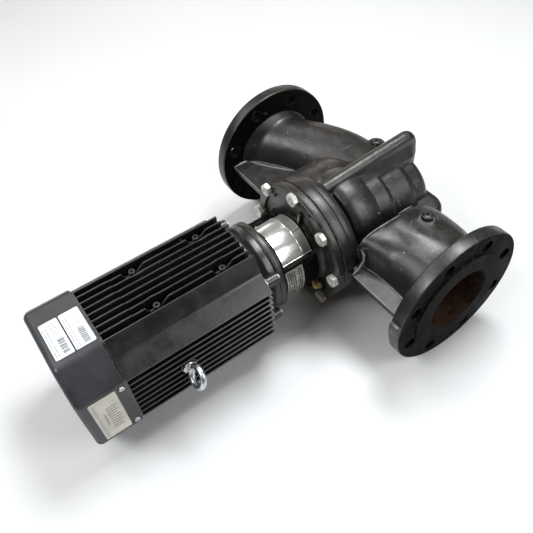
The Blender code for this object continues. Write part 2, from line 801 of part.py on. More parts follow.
def main():
    clear_scene()
    casting = material("black_casting", (0.030, 0.029, 0.028), 0.5)
    motor_paint = material("black_motor_paint", (0.020, 0.020, 0.021), 0.45)
    cover_paint = material("dark_grey_cover", (0.045, 0.045, 0.048), 0.5)
    stainless = material("polished_stainless", (0.62, 0.61, 0.58), 0.2, 1.0)
    steel = material("turned_steel", (0.45, 0.45, 0.46), 0.35, 1.0)
    zinc = material("zinc_plate", (0.60, 0.61, 0.62), 0.38, 1.0)
    brass = material("brass", (0.60, 0.42, 0.16), 0.35, 1.0)
    plastic = material("black_plastic", (0.025, 0.025, 0.026), 0.55)
    fibre = material("gasket_fibre", (0.10, 0.10, 0.095), 0.8)
    plate_metal = material("plate_metal", (0.50, 0.50, 0.48), 0.4, 1.0)
    label_white = material("label_white", (0.80, 0.80, 0.77), 0.5)
    label_beige = material("label_beige", (0.68, 0.65, 0.56), 0.5)

    pump_housing(casting)
    housing_gasket(fibre)
    motor_stool(casting)
    coupling_guard("upper_coupling_guard", 1, stainless)
    coupling_guard("lower_coupling_guard", -1, stainless)
    pump_shaft(steel)
    shaft_coupling(steel)
    nameplate(plate_metal)
    hex_plug("vent_plug", HEAD_FRONT - 0.002 - FIT, HEAD_FRONT - 0.010, VENT_RADIUS, ALONG_X, VENT_PLACE, brass)
    tapping_plug("outlet_tapping_plug", OUTLET_TAPPING, casting)
    tapping_plug("inlet_tapping_plug", INLET_TAPPING, casting)

    drive_end_shield(motor_paint)
    stator_housing(motor_paint)
    lifting_eyebolt(zinc)
    fan_end_shield(motor_paint)
    fan_shaft(steel)
    cooling_fan(plastic)
    fan_cover(cover_paint)
    terminal_box(motor_paint)
    terminal_box_lid(motor_paint)
    cable_gland(plastic)
    entry_plug(plastic)
    cover_label("upper_label_back", (-0.4870, -0.0400), (-0.4630, 0.0210), "top", label_white)
    cover_label("upper_label_front", (-0.4610, -0.0400), (-0.4350, 0.0210), "top", label_white)
    cover_label("side_label", (-0.4840, -0.0440), (-0.4480, 0.0455), "side", label_beige)


main()
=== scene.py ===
"""Looks of the inline circulator pump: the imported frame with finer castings, fins, fasteners and finishes.

Lengths are in metres. Pieces are drawn about the pump's own centre, where the motor's axis (X) crosses the
pipe's axis (Y), and are then moved to their place on the floor.
"""

import json
import math

import bmesh
import bpy
from mathutils import Matrix, Vector, noise

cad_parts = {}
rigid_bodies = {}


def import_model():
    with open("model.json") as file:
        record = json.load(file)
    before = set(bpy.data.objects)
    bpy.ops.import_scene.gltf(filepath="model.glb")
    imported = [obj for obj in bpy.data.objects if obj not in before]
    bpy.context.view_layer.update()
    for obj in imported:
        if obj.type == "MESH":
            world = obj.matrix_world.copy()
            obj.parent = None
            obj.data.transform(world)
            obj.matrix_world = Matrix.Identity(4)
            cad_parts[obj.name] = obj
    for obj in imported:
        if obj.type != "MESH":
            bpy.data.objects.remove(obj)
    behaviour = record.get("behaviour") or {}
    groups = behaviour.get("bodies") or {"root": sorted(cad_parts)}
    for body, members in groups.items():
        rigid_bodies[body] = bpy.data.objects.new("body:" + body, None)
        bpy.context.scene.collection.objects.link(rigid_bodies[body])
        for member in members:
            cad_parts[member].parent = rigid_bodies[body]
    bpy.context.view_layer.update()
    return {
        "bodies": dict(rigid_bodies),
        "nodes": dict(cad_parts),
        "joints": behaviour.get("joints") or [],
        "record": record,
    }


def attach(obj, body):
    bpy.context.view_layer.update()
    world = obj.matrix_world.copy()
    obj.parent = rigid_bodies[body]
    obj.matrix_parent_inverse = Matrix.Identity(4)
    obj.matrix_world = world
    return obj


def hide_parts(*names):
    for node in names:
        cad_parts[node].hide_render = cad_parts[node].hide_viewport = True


ORIGIN = Vector((0.18925, 0.0, 0.11))

ALONG_X = Matrix(((0, 0, 1), (1, 0, 0), (0, 1, 0))).to_4x4()
ALONG_Y = Matrix(((0, 1, 0), (0, 0, 1), (1, 0, 0))).to_4x4()
ALONG_Z = Matrix.Identity(4)

# Flanges
FLANGE_RADIUS = 0.11
FLANGE_FACE = 0.225
FLANGE_RIM_FRONT = 0.222
FLANGE_BACK = 0.203
RAISED_FACE_RADIUS = 0.079
BOLT_CIRCLE_RADIUS = 0.09
BOLT_HOLE_RADIUS = 0.0095
BORE_RADIUS = 0.05
PIPE_RADIUS = 0.06
BORE_END = 0.105

# Places along the motor's axis
FAR_END = 0.119
WEB_EDGE = {1: -0.0905, -1: -0.0885}
WEB_HALF = 0.0048
HOUSING_FACE = -0.0952
HEAD_BACK = -0.0964
HEAD_FRONT = -0.1106
STOOL_RING_PUMP_SIDE = -0.174
STOOL_FACE = -0.1872
SHIELD_FACE = -0.1875
STATOR_FRONT = -0.2135
STATOR_BACK = -0.43
COVER_FRONT = -0.433
FAN_END = -0.4975

# Radii about the motor's axis
HEAD_RADIUS = 0.098
HEAD_BOLT_CIRCLE = 0.0916
STOOL_RING_RADIUS = 0.0695
WALL_OUTER_RADIUS = 0.063
WALL_INNER_RADIUS = 0.0503
GUARD_RADIUS = 0.05
SHAFT_RADIUS = 0.012
SHIELD_RADIUS = 0.078
CORE_RADIUS = 0.07

# Places on the motor's top: its tapped bosses, and where the fins step up towards the fan
BOSS_PLACES = (-0.353, -0.255)
STEP_PLACE = -0.383

# The stool's walls, in degrees from the +Y side, and where they end inside the pump head
NEAR_WALL = (151.0, 209.0)
FAR_WALL = (-22.0, 22.0)
WALL_END = -0.102

# Motor section
FIN_TIP = 0.0863
FIN_PITCH = 0.0115
FINS_PER_SIDE = 9
VALLEY = 0.062
COVER_HALF = 0.088
COVER_FLAT = 0.0505
COVER_ROUND = 0.011
COVER_WALL = 0.0025

# Terminal box
BOX_BACK = -0.398
BOX_FRONT = -0.292
BOX_HALF_WIDTH = 0.045
BOX_SEAT = 0.0705
LID_SEAT = 0.104
GLAND_DEPTH = 0.089
ENTRY_INSET = 0.03

# Fittings: each tapping as x, y and the height of its boss, and the vent as y and z
OUTLET_TAPPING = (0.033, -0.121, 0.059)
INLET_TAPPING = (0.0985, 0.056, 0.05)
TAPPINGS = (OUTLET_TAPPING, INLET_TAPPING)
VENT_PLACE = (-0.056, -0.044)
EYE_CENTER = Vector((-0.351, -0.1065, 0.0))
EYE_TURN = math.radians(-68)
LUG_Y, LUG_Z = 0.064, 0.04
STICKER_THICKNESS = 0.0003

# The radius and height of a screw's head
M5_SCREW = (0.0042, 0.0024)

# The clearance that pieces keep from one another
FIT = 0.0003

CORNERS = ((-1, -1), (-1, 1), (1, -1), (1, 1))

# The pump casting's skin: voxel size, rounds of smoothing, share of faces kept, and its waves' height and length
CAST_VOXEL = 0.0013
CAST_ROUNDS = 4
CAST_KEEP = 0.34
CAST_WANDER = 0.00022
CAST_WAVE = 0.034

LIGHT_TARGET = Vector((0.05, 0.0, 0.1))
LIGHT_DISTANCE = 2.0


# Meshes

def tenths(*points):
    """Points or rows of whole tenths of a millimetre, in metres."""
    return [tuple(value / 10000 for value in point) for point in points]


def steps_from(place, radius, *steps):
    """Points of a profile by their steps from a place and a radius, in tenths of a millimetre."""
    return [(place + along, radius + out) for along, out in tenths(*steps)]


def polar(radius, degrees, center=(0.0, 0.0)):
    angle = math.radians(degrees)
    return center[0] + radius * math.cos(angle), center[1] + radius * math.sin(angle)


def linked(bm, name):
    """A new object in the scene, with the mesh that was drawn."""
    mesh = bpy.data.meshes.new(name)
    bm.to_mesh(mesh)
    bm.free()
    obj = bpy.data.objects.new(name, mesh)
    bpy.context.scene.collection.objects.link(obj)
    return obj


def solid(bm, frame=ALONG_Z):
    bm.transform(frame)
    bmesh.ops.recalc_face_normals(bm, faces=bm.faces)
    return linked(bm, "solid")


def applied(obj):
    """Replaces an object's mesh with the result of its modifiers."""
    depsgraph = bpy.context.evaluated_depsgraph_get()
    mesh = bpy.data.meshes.new_from_object(obj.evaluated_get(depsgraph))
    obj.modifiers.clear()
    obj.data = mesh
    return obj


def combine(base, tools, operation):
    for tool in tools:
        boolean = base.modifiers.new("combine", "BOOLEAN")
        boolean.solver = "MANIFOLD"
        boolean.operation = operation
        boolean.object = tool
        applied(base)
        bpy.data.objects.remove(tool, do_unlink=True)


def join(base, *tools):
    combine(base, tools, "UNION")


def cut(base, *tools):
    combine(base, tools, "DIFFERENCE")


def gathered(objects):
    """One object that holds the meshes of several, which don't have to touch."""
    bm = bmesh.new()
    for obj in objects:
        obj.data.transform(obj.matrix_world)
        bm.from_mesh(obj.data)
        bpy.data.objects.remove(obj, do_unlink=True)
    return linked(bm, "gathered")


def fused(objects, voxel, rounds, keep=1.0, softness=None):
    """Fuses solids into one skin and rounds its corners, as a casting or forging has them.

    The softness gives, for a place, how far its surface is smoothed beyond that.
    """
    obj = gathered(objects)
    remesh = obj.modifiers.new("fuse", "REMESH")
    remesh.mode = "VOXEL"
    remesh.voxel_size = voxel
    smooth = obj.modifiers.new("round", "SMOOTH")
    smooth.factor = 0.5
    smooth.iterations = rounds
    if softness is not None:
        applied(obj)
        group = obj.vertex_groups.new(name="soft")
        for vertex in obj.data.vertices:
            weight = softness(*vertex.co)
            if weight > 0.0:
                group.add([vertex.index], weight, "REPLACE")
        soften = obj.modifiers.new("soften", "SMOOTH")
        soften.factor = 0.5
        soften.iterations = 150
        soften.vertex_group = "soft"
    if keep < 1.0:
        fewer = obj.modifiers.new("fewer", "DECIMATE")
        fewer.ratio = keep
    return applied(obj)


def roughened(obj, height, wavelength):
    """Lets a cast surface wander a little along its normals."""
    vertices = obj.data.vertices
    normals = [vertex.normal.copy() for vertex in vertices]
    for vertex, normal in zip(vertices, normals):
        vertex.co += normal * height * noise.noise(vertex.co / wavelength)


def skin(bm, loops, closed=False):
    pairs = list(zip(loops, loops[1:]))
    if closed:
        pairs.append((loops[-1], loops[0]))
    for low, high in pairs:
        count = max(len(low), len(high))
        for i in range(count):
            j = (i + 1) % count
            if len(low) == 1:
                bm.faces.new((low[0], high[i], high[j]))
            elif len(high) == 1:
                bm.faces.new((low[i], low[j], high[0]))
            else:
                bm.faces.new((low[i], low[j], high[j], high[i]))


def turned(profile, frame=ALONG_X, center=(0.0, 0.0), segments=96, closed=False):
    """A profile of places and radii, turned about the frame's axis."""
    bm = bmesh.new()
    loops = []
    for place, radius in profile:
        if radius < 1e-6:
            loops.append([bm.verts.new((*center, place))])
            continue
        loop = []
        for i in range(segments):
            angle = 2 * math.pi * i / segments
            x = center[0] + radius * math.cos(angle)
            y = center[1] + radius * math.sin(angle)
            loop.append(bm.verts.new((x, y, place)))
        loops.append(loop)
    skin(bm, loops, closed)
    return solid(bm, frame)


def spun(profile, frame=ALONG_X, center=(0.0, 0.0), segments=96):
    """A turned solid whose flat ends reach in to its axis."""
    return turned([(profile[0][0], 0), *profile, (profile[-1][0], 0)], frame, center, segments)


def stud(profile, segments=48, center=(0.0, 0.0)):
    """A turned solid that is drawn upwards."""
    return spun(profile, ALONG_Z, center, segments)


def rod(start, end, radius, frame=ALONG_X, center=(0.0, 0.0), segments=48):
    return spun([(start, radius), (end, radius)], frame, center, segments)


def prism(outline, start, end, frame=ALONG_X):
    return loft([(start, outline), (end, outline)], frame)


def rectangle(low, high):
    return [(low[0], low[1]), (high[0], low[1]), (high[0], high[1]), (low[0], high[1])]


def box(low, high):
    return prism(rectangle(low, high), low[2], high[2], ALONG_Z)


def eased_box(low, high, edge):
    """A box with its edges rounded."""
    obj = box(low, high)
    bm = bmesh.new()
    bm.from_mesh(obj.data)
    bmesh.ops.bevel(bm, geom=list(bm.edges), offset=edge, segments=3, profile=0.5, affect="EDGES")
    bm.to_mesh(obj.data)
    bm.free()
    return obj


def arc(center, radius, start, end, steps):
    return [polar(radius, start + (end - start) * i / steps, center) for i in range(steps + 1)]


def sector(start, end, inner, outer, first, last, steps=32):
    outline = arc((0, 0), outer, first, last, steps) + arc((0, 0), inner, last, first, steps)
    return prism(outline, start, end)


def rounded_rectangle(half_x, half_y, corner, steps=8, middle=(0.0, 0.0)):
    outline = []
    for k, (sx, sy) in enumerate(((1, 1), (-1, 1), (-1, -1), (1, -1))):
        center = (middle[0] + sx * (half_x - corner), middle[1] + sy * (half_y - corner))
        outline += arc(center, corner, 90 * k, 90 * k + 90, steps)
    return outline


def loft(outlines, frame=ALONG_X):
    bm = bmesh.new()
    loops = [[bm.verts.new((x, y, place)) for x, y in outline] for place, outline in outlines]
    skin(bm, loops)
    bm.faces.new(loops[0])
    bm.faces.new(loops[-1])
    return solid(bm, frame)


def oval(half_across, half_up, squareness=2.0, segments=72):
    """An ellipse, or with more squareness a boxier shape on the side where across is negative."""
    outline = []
    for i in range(segments):
        across = math.cos(2 * math.pi * i / segments)
        up = math.sin(2 * math.pi * i / segments)
        power = 2 / squareness if across < 0 else 1.0
        across = math.copysign(abs(across) ** power, across)
        up = math.copysign(abs(up) ** power, up)
        outline.append((half_across * across, half_up * up))
    return outline


def blended(rows, count):
    """Rows of numbers resampled on smooth curves, with the first number of each row as its place."""
    result = []
    for i in range(count + 1):
        place = rows[0][0] + (rows[-1][0] - rows[0][0]) * i / count
        k = 0
        while k < len(rows) - 2 and (rows[k + 1][0] - place) * (rows[-1][0] - rows[0][0]) < 0:
            k += 1
        a, b = rows[k], rows[k + 1]
        before = rows[max(k - 1, 0)]
        after = rows[min(k + 2, len(rows) - 1)]
        span = b[0] - a[0]
        t = (place - a[0]) / span
        row = [place]
        for j in range(1, len(a)):
            slope_a = (b[j] - before[j]) / (b[0] - before[0])
            slope_b = (after[j] - a[j]) / (after[0] - a[0])
            value = (2 * t ** 3 - 3 * t ** 2 + 1) * a[j] + (3 * t ** 2 - 2 * t ** 3) * b[j]
            value += ((t ** 3 - 2 * t ** 2 + t) * slope_a + (t ** 3 - t ** 2) * slope_b) * span
            row.append(value)
        result.append(row)
    return result


def finish_piece(obj, name, mat, replaced=(), angle=35):
    """Names and shades a piece, moves it to its place and lets it ride on the pump."""
    obj.name = name
    obj.data.name = name
    obj.data.materials.clear()
    obj.data.materials.append(mat)
    obj.data.shade_smooth()
    obj.data.set_sharp_from_angle(angle=math.radians(angle))
    obj.data.transform(Matrix.Translation(ORIGIN))
    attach(obj, "root")
    if replaced:
        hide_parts(*replaced)


# Materials

class Shader:
    """Adds and links the shader nodes of one material."""

    def __init__(self, name):
        self.mat = bpy.data.materials.new(name)
        self.mat.use_nodes = True
        self.tree = self.mat.node_tree
        self.place = self.add("TexCoord").outputs["Object"]

    def add(self, kind, inputs=None, **settings):
        """A new node with its settings, and with a value or a link for each input that is named."""
        node = self.tree.nodes.new("ShaderNode" + kind)
        for key, value in settings.items():
            setattr(node, key, value)
        self.feed(node, inputs or {})
        return node

    def feed(self, node, inputs):
        for key, value in inputs.items():
            socket = node.inputs[key]
            if isinstance(value, bpy.types.NodeSocket):
                self.tree.links.new(value, socket)
            elif isinstance(value, tuple) and len(value) == 3 and socket.type == "RGBA":
                socket.default_value = (*value, 1.0)
            else:
                socket.default_value = value

    def noise(self, scale, detail=3.0, rough=0.55, stretch=(1, 1, 1)):
        vector = self.add("Mapping", {"Vector": self.place, "Scale": stretch}).outputs["Vector"]
        inputs = {"Vector": vector, "Scale": scale, "Detail": detail, "Roughness": rough}
        return self.add("TexNoise", inputs).outputs["Fac"]

    def ramp(self, value, low, high, to_low=0.0, to_high=1.0):
        inputs = {"Value": value, "From Min": low, "From Max": high, "To Min": to_low, "To Max": to_high}
        return self.add("MapRange", inputs, interpolation_type="SMOOTHSTEP").outputs["Result"]

    def patches(self, low, high, *noise):
        """1 where a noise lies above the range, 0 where it lies below."""
        return self.ramp(self.noise(*noise), low, high)

    def spread(self, low, high, *noise):
        """A value that wanders between two ends."""
        return self.ramp(self.noise(*noise), 0.3, 0.7, low, high)

    def math(self, operation, a, b=0.0):
        return self.add("Math", {0: a, 1: b}, operation=operation).outputs[0]

    def times(self, a, b):
        return self.math("MULTIPLY", a, b)

    def mix(self, factor, a, b):
        return self.add("Mix", {"Factor": factor, 6: a, 7: b}, data_type="RGBA").outputs[2]

    def over(self, color, mask, share, top):
        """A colour with a share of another on top, where the mask lets it through."""
        return self.mix(self.times(mask, share), color, top)

    def split(self, vector):
        return self.add("SeparateXYZ", {0: vector}).outputs

    def edges(self, radius, low, high):
        """1 on edges sharper than their surroundings, 0 on flat faces."""
        bevel = self.add("Bevel", {"Radius": radius}, samples=4)
        normals = {0: bevel.outputs["Normal"], 1: self.add("NewGeometry").outputs["Normal"]}
        return self.ramp(self.add("VectorMath", normals, operation="DOT_PRODUCT").outputs["Value"], high, low)

    def specks(self, scale, size):
        """Rare small spots."""
        cells = self.add("TexVoronoi", {"Vector": self.place, "Scale": scale}).outputs
        spot = self.ramp(cells["Distance"], size, 0.6 * size)
        return self.times(spot, self.ramp(self.split(cells["Color"])[0], 0.9, 0.93))

    def facing_up(self):
        return self.ramp(self.split(self.add("NewGeometry").outputs["Normal"])[2], 0.2, 1.0)

    def finish(self, color, roughness, metallic=0.0, bumps=(), specular=0.5, tint=(1.0, 1.0, 1.0)):
        inputs = {"Base Color": color, "Roughness": roughness, "Metallic": metallic}
        inputs |= {"Specular IOR Level": specular, "Specular Tint": tint}
        for height, strength, distance in bumps:
            bump = {"Height": height, "Strength": strength, "Distance": distance}
            if "Normal" in inputs:
                bump["Normal"] = inputs["Normal"]
            inputs["Normal"] = self.add("Bump", bump).outputs["Normal"]
        self.feed(self.tree.nodes["Principled BSDF"], inputs)
        return self.mat


def cast_paint(name, dark, light, wear=0.8, rough=(0.33, 0.45), specular=0.65):
    """Satin paint on a rough casting, dusty on top, chipped at its edges and finely scratched."""
    s = Shader(name)
    chip = (0.4, 0.385, 0.36)
    cloud = s.patches(0.35, 0.7, 14.0, 4.0)
    dust = s.times(s.facing_up(), s.patches(0.38, 0.68, 45.0, 4.0, 0.65))
    color = s.mix(s.math("MAXIMUM", s.times(cloud, 0.5), s.times(dust, 0.8)), dark, light)
    streak = s.times(s.facing_up(), s.patches(0.46, 0.72, 90.0, 5.0, 0.7, (1.0, 5.0, 5.0)))
    color = s.over(color, streak, 0.3, (0.09, 0.087, 0.088))
    worn = s.times(s.edges(0.0016, 0.8, 0.97), s.patches(0.48, 0.64, 120.0, 4.0, 0.7))
    spots = s.math("MAXIMUM", s.specks(70.0, 0.1), s.specks(170.0, 0.13))
    color = s.over(color, s.math("MAXIMUM", worn, spots), wear, chip)
    line = s.ramp(s.math("ABSOLUTE", s.math("SUBTRACT", s.noise(15.0, 1.0), 0.5)), 0.005, 0.0015)
    scratch = s.times(line, s.patches(0.56, 0.64, 38.0, 2.0, 0.5, (1.0, 1.3, 0.8)))
    color = s.over(color, scratch, 0.3 * wear, chip)
    roughness = s.spread(*rough, 60.0, 3.0)
    grain = s.noise(520.0, 2.0, 0.6)
    swell = s.noise(70.0, 2.0, 0.5)
    bumps = [(swell, 0.16, 0.0015), (grain, 0.35, 0.0004)]
    return s.finish(color, roughness, bumps=bumps, specular=specular, tint=(1.0, 0.975, 0.94))


def rusty_bore():
    """Bare cast iron inside the ports, with dark and brown rust."""
    s = Shader("rusty_bore")
    color = s.mix(s.patches(0.38, 0.66, 30.0, 5.0, 0.65), (0.012, 0.007, 0.0042), (0.06, 0.027, 0.0105))
    color = s.mix(s.patches(0.54, 0.72, 160.0, 4.0, 0.7), color, (0.095, 0.048, 0.02))
    bumps = [(s.noise(220.0, 4.0, 0.7), 0.5, 0.0008)]
    return s.finish(color, s.spread(0.7, 0.9, 90.0), bumps=bumps, specular=0.2)


def metal(name, dark, light, rough=(0.25, 0.45), stretch=(1, 1, 1), scale=160.0, stain=None, metallic=1.0):
    s = Shader(name)
    color = s.mix(s.patches(0.35, 0.68, scale, 4.0, 0.6, stretch), dark, light)
    if stain is not None:
        color = s.mix(s.patches(0.5, 0.66, 70.0, 5.0, 0.7), color, stain)
    roughness = s.spread(*rough, 1.6 * scale, 3.0, 0.6, stretch)
    return s.finish(color, roughness, metallic, [(s.noise(4 * scale, 2.0, 0.6, stretch), 0.12, 0.0002)])


def matt(name, dark, light, rough, scale, bump=0.1):
    s = Shader(name)
    color = s.mix(s.patches(0.35, 0.68, scale, 4.0, 0.6), dark, light)
    roughness = s.spread(rough - 0.07, rough + 0.07, 2 * scale, 2.0)
    return s.finish(color, roughness, bumps=[(s.noise(6 * scale, 2.0), bump, 0.0003)])


def motor_paint():
    """Black satin paint, lighter on the fin tips and edges: partly rubbed paint and partly a painted highlight."""
    s = Shader("black_motor_paint")
    color = s.mix(s.patches(0.35, 0.7, 20.0, 4.0), (0.0045, 0.0045, 0.0049), (0.01, 0.01, 0.0107))
    # Lighter edges and fin tips: partly rubbed paint and partly painted highlight.
    rubbed = s.times(s.edges(0.0009, 0.86, 0.985), s.ramp(s.noise(60.0, 4.0, 0.6), 0.3, 0.55, 0.35, 1.0))
    color = s.over(color, rubbed, 0.75, (0.13, 0.13, 0.13))
    color = s.over(color, s.specks(60.0, 0.07), 0.7, (0.5, 0.49, 0.47))
    bumps = [(s.noise(90.0, 2.0), 0.15, 0.001), (s.noise(700.0, 2.0), 0.15, 0.0003)]
    return s.finish(color, s.spread(0.28, 0.4, 50.0, 3.0), bumps=bumps, specular=0.7)


def cover_paint():
    """Dark grey satin paint, rubbed at its edges and scratched across."""
    s = Shader("dark_grey_cover_paint")
    color = s.mix(s.patches(0.35, 0.7, 16.0, 4.0), (0.021, 0.021, 0.023), (0.035, 0.035, 0.038))
    rubbed = s.times(s.edges(0.0015, 0.8, 0.98), s.patches(0.42, 0.62, 90.0, 4.0, 0.7))
    color = s.over(color, rubbed, 0.6, (0.22, 0.22, 0.23))
    color = s.over(color, s.specks(55.0, 0.06), 0.8, (0.55, 0.54, 0.52))
    color = s.over(color, s.patches(0.62, 0.72, 35.0, 5.0, 0.7, (1.0, 9.0, 9.0)), 0.15, (0.25, 0.25, 0.26))
    return s.finish(color, s.spread(0.36, 0.5, 40.0, 3.0), bumps=[(s.noise(900.0, 2.0), 0.12, 0.0003)])


# The pump's castings

def eased(distance, length):
    """How far a slope has led after a distance, where it starts gently over the given length."""
    if distance <= 0:
        return 0.0
    if distance < length:
        return distance * distance / (2 * length)
    return distance - length / 2


def add_finishes(obj, others, choose):
    """Adds further finishes to a piece, and gives each face the one that its middle calls for."""
    for mat in others:
        obj.data.materials.append(mat)
    for polygon in obj.data.polygons:
        polygon.material_index = choose(*(polygon.center - ORIGIN))


def suction_middle(y):
    """Where the suction pipe's middle lies in x: it slopes from the flange and levels out inwards."""
    slope, bend_start, bend_end = 0.664, 0.209, 0.165
    return slope * (eased(bend_start - y, 0.012) - eased(bend_end - y, 0.1))


def upright(outline, middle=0.0):
    """A pipe's outline, drawn across and up, as ALONG_Y takes it."""
    return [(up, middle + across) for across, up in outline]


def suction_pipe(radius, first, last, flare=0.0):
    """The suction pipe or its bore, with a fillet of the given reach at the flange's back."""
    outlines = []
    steps = 56
    for i in range(steps + 1):
        y = first + (last - first) * i / steps
        half = radius + flare * min(max((y - 0.187) / 0.0165, 0.0), 1.0) ** 2.5
        outlines.append((y, upright(oval(half, half), suction_middle(y))))
    return loft(outlines, ALONG_Y)


def round_pipe():
    """The round part of the near pipe, with the flat that runs askew over its top."""
    radius = PIPE_RADIUS
    start, end = -0.205, -0.0955
    steps = 40
    outlines = []
    for i in range(steps + 1):
        y = start + (end - start) * i / steps
        left = -0.0225 - 0.289 * (y + 0.18)
        right = -0.009 - 0.585 * (y + 0.125)
        first = math.degrees(math.acos(right / radius))
        last = math.degrees(math.acos(left / radius))
        outline = arc((0.0, 0.0), radius, last, 360 + first, 70)
        (x0, z0), (x1, z1) = outline[-1], outline[0]
        outline += [(x0 + (x1 - x0) * k / 8, z0 + (z1 - z0) * k / 8) for k in range(1, 8)]
        outlines.append((y, upright(outline)))
    return loft(outlines, ALONG_Y)


def wide_pipe(rows):
    outlines = []
    for y, middle, half_width, half_height, squareness in rows:
        outlines.append((y, upright(oval(half_width, half_height, squareness), middle)))
    return loft(outlines, ALONG_Y)


def pipe_rows(*rows):
    """Rows of y, middle, half width and half height in tenths of a millimetre, and of squareness."""
    return [(*tenths(lengths)[0], squareness) for *lengths, squareness in rows]


def discharge_pipe():
    """The near pipe: round at its flange, and wide and boxy where it leaves the volute."""
    oval_rows = pipe_rows(
        (-2150, 0, 530, 530, 2.0), (-1950, 50, 600, 545, 2.0), (-1800, 120, 670, 560, 2.0),
        (-1640, 165, 715, 573, 2.0), (-1350, 175, 725, 588, 2.0), (-1080, 175, 725, 575, 2.0),
        (-960, 175, 725, 545, 2.0))
    box_rows = pipe_rows(
        (-1780, 80, 600, 470, 2.1), (-1600, 95, 640, 505, 2.3), (-1450, 110, 675, 530, 2.6),
        (-1320, 120, 705, 546, 3.0), (-1200, 128, 735, 554, 3.6), (-1100, 130, 757, 556, 4.3),
        (-1000, 128, 770, 554, 5.2))
    end_rows = pipe_rows(
        (-940, 120, 778, 549, 6.0), (-905, 115, 783, 538, 6.0), (-895, 115, 780, 515, 6.0),
        (-890, 118, 770, 400, 5.0), (-886, 125, 750, 200, 4.0), (-480, 150, 700, 150, 3.0))
    step = box((0.0105, -0.096, -0.0525), (0.038, -0.0858, 0.0525))
    return [round_pipe(), wide_pipe(blended(oval_rows, 36)), wide_pipe(blended(box_rows, 24) + end_rows), step]


def drums():
    """The volute's bands: a barrel, two cylinders and a dome. Each row holds x, half width and half height."""
    barrel = tenths(
        (-490, 735, 790), (-386, 768, 830), (-248, 780, 840), (-141, 774, 829), (-60, 762, 809), (-6, 752, 790))
    rows = tenths((-940, 680, 700), (-522, 680, 700), (-508, 720, 765)) + blended(barrel, 24)
    rows += tenths(
        (12, 734, 760), (22, 706, 716), (36, 696, 700), (285, 700, 702), (315, 692, 694), (333, 672, 672),
        (345, 652, 652), (720, 657, 657), (765, 648, 646), (792, 630, 624), (810, 606, 598), (1000, 600, 590),
        (1070, 570, 555), (1120, 510, 495), (1155, 430, 418), (1176, 320, 312), (1186, 180, 176))
    return loft([(place, oval(across, up)) for place, across, up in rows])


def scroll():
    profile = tenths(
        (-900, 0), (-900, 760), (-700, 782), (-200, 782), (-60, 774), (40, 752), (140, 695), (240, 610),
        (330, 490), (400, 350), (440, 200), (455, 0))
    return turned(profile, center=(0.026, 0.0))


def rib_bar(side):
    """The bar above or below the volute: half round on its crest, with a rounded end and a wider foot."""
    start, length, low, high = -0.085, 0.204, 0.0875, 0.1035
    foot_top, foot_bottom = 0.0665, 0.034
    straight = [(place, 110, 0) for place in (-900, -500, 0, 500, 980)]
    rounded = [(1040, 110, 8), (1090, 108, 28), (1130, 104, 58), (1160, 98, 95), (1180, 90, 140), (1190, 78, 190)]
    rows = []
    for x, width, drop in tenths(*straight, *rounded):
        crest = low + (high - low) * (x - start) / length - drop
        shoulder = min(0.085, crest - width - 0.002)
        foot = width + 0.0095 * min(1.0, (0.122 - x) / 0.02)
        outline = arc((0.0, crest - width), width, 0, 180, 14)
        outline += [(-width, shoulder), (-foot, foot_top), (-foot, foot_bottom)]
        outline += [(foot, foot_bottom), (foot, foot_top), (width, shoulder)]
        rows.append((x, [(y, side * z) for y, z in outline]))
    return loft(rows)


def side_bar():
    """The bar on the volute's near side."""
    crest, inner_end = -0.094, -0.03
    rows = []
    for x, half, drop in tenths(
            (400, 110, 0), (950, 110, 0), (1020, 110, 14), (1080, 108, 45), (1130, 102, 95), (1160, 94, 150),
            (1180, 80, 220)):
        outline = arc((crest + drop + half, 0.0), half, 90, 270, 12)
        rows.append((x, outline + [(inner_end, -half), (inner_end, half)]))
    return loft(rows)


def mid_web(side):
    """The flat web between a flange and the volute, thin in z."""
    edge = WEB_EDGE[side]
    outline = [(-0.03, 0.2036), (edge, 0.2036), (edge, 0.108), (-0.08, 0.098), (-0.0785, 0.08)]
    outline += [(0.01, 0.05), (0.02, 0.12)]
    return prism([(x, side * y) for x, y in outline], -WEB_HALF, WEB_HALF, ALONG_Z)


def pipe_shoulder(x, y, z):
    """1 where the near pipe's boxy end runs out over its round part, and 0 elsewhere and round its tapping."""
    if not (-0.085 < x < 0.085 and -0.19 < y < -0.094 and abs(z) > 0.01):
        return 0.0
    fade = min(1.0, (0.19 + y) / 0.03, (-0.094 - y) / 0.008, (abs(z) - 0.01) / 0.008)
    if z > 0.0:
        fade = min(fade, (math.hypot(x - OUTLET_TAPPING[0], y - OUTLET_TAPPING[1]) - 0.013) / 0.01)
    return max(fade, 0.0)


def near_hub():
    profile = tenths((1850, 500), (1925, 545), (1975, 590), (2010, 650), (2038, 730))
    return spun([(-place, radius) for place, radius in profile], ALONG_Y)


def flange_disc(side):
    profile = [(0.202, 0.064), (FLANGE_BACK, 0.0715)]
    profile += arc_profile(FLANGE_BACK, FLANGE_RADIUS, 0.0022, "back")
    profile += arc_profile(FLANGE_RIM_FRONT, FLANGE_RADIUS, 0.0016, "front")
    profile += steps_from(FLANGE_RIM_FRONT, RAISED_FACE_RADIUS, (0, 16), (4, 6))
    profile += steps_from(FLANGE_FACE, RAISED_FACE_RADIUS, (-5, 1), (0, -6))
    return spun([(side * place, radius) for place, radius in profile], ALONG_Y, segments=144)


def arc_profile(place, radius, edge, end):
    """The rounded edge of a disc: its back edge going out, or its front edge coming in."""
    away = 1 if end == "back" else -1
    points = []
    for i in range(5):
        angle = math.radians(90 * i / 4)
        points.append((place + away * edge * (1 - math.sin(angle)), radius - edge * (1 - math.cos(angle))))
    return points[::-1] if end == "back" else points


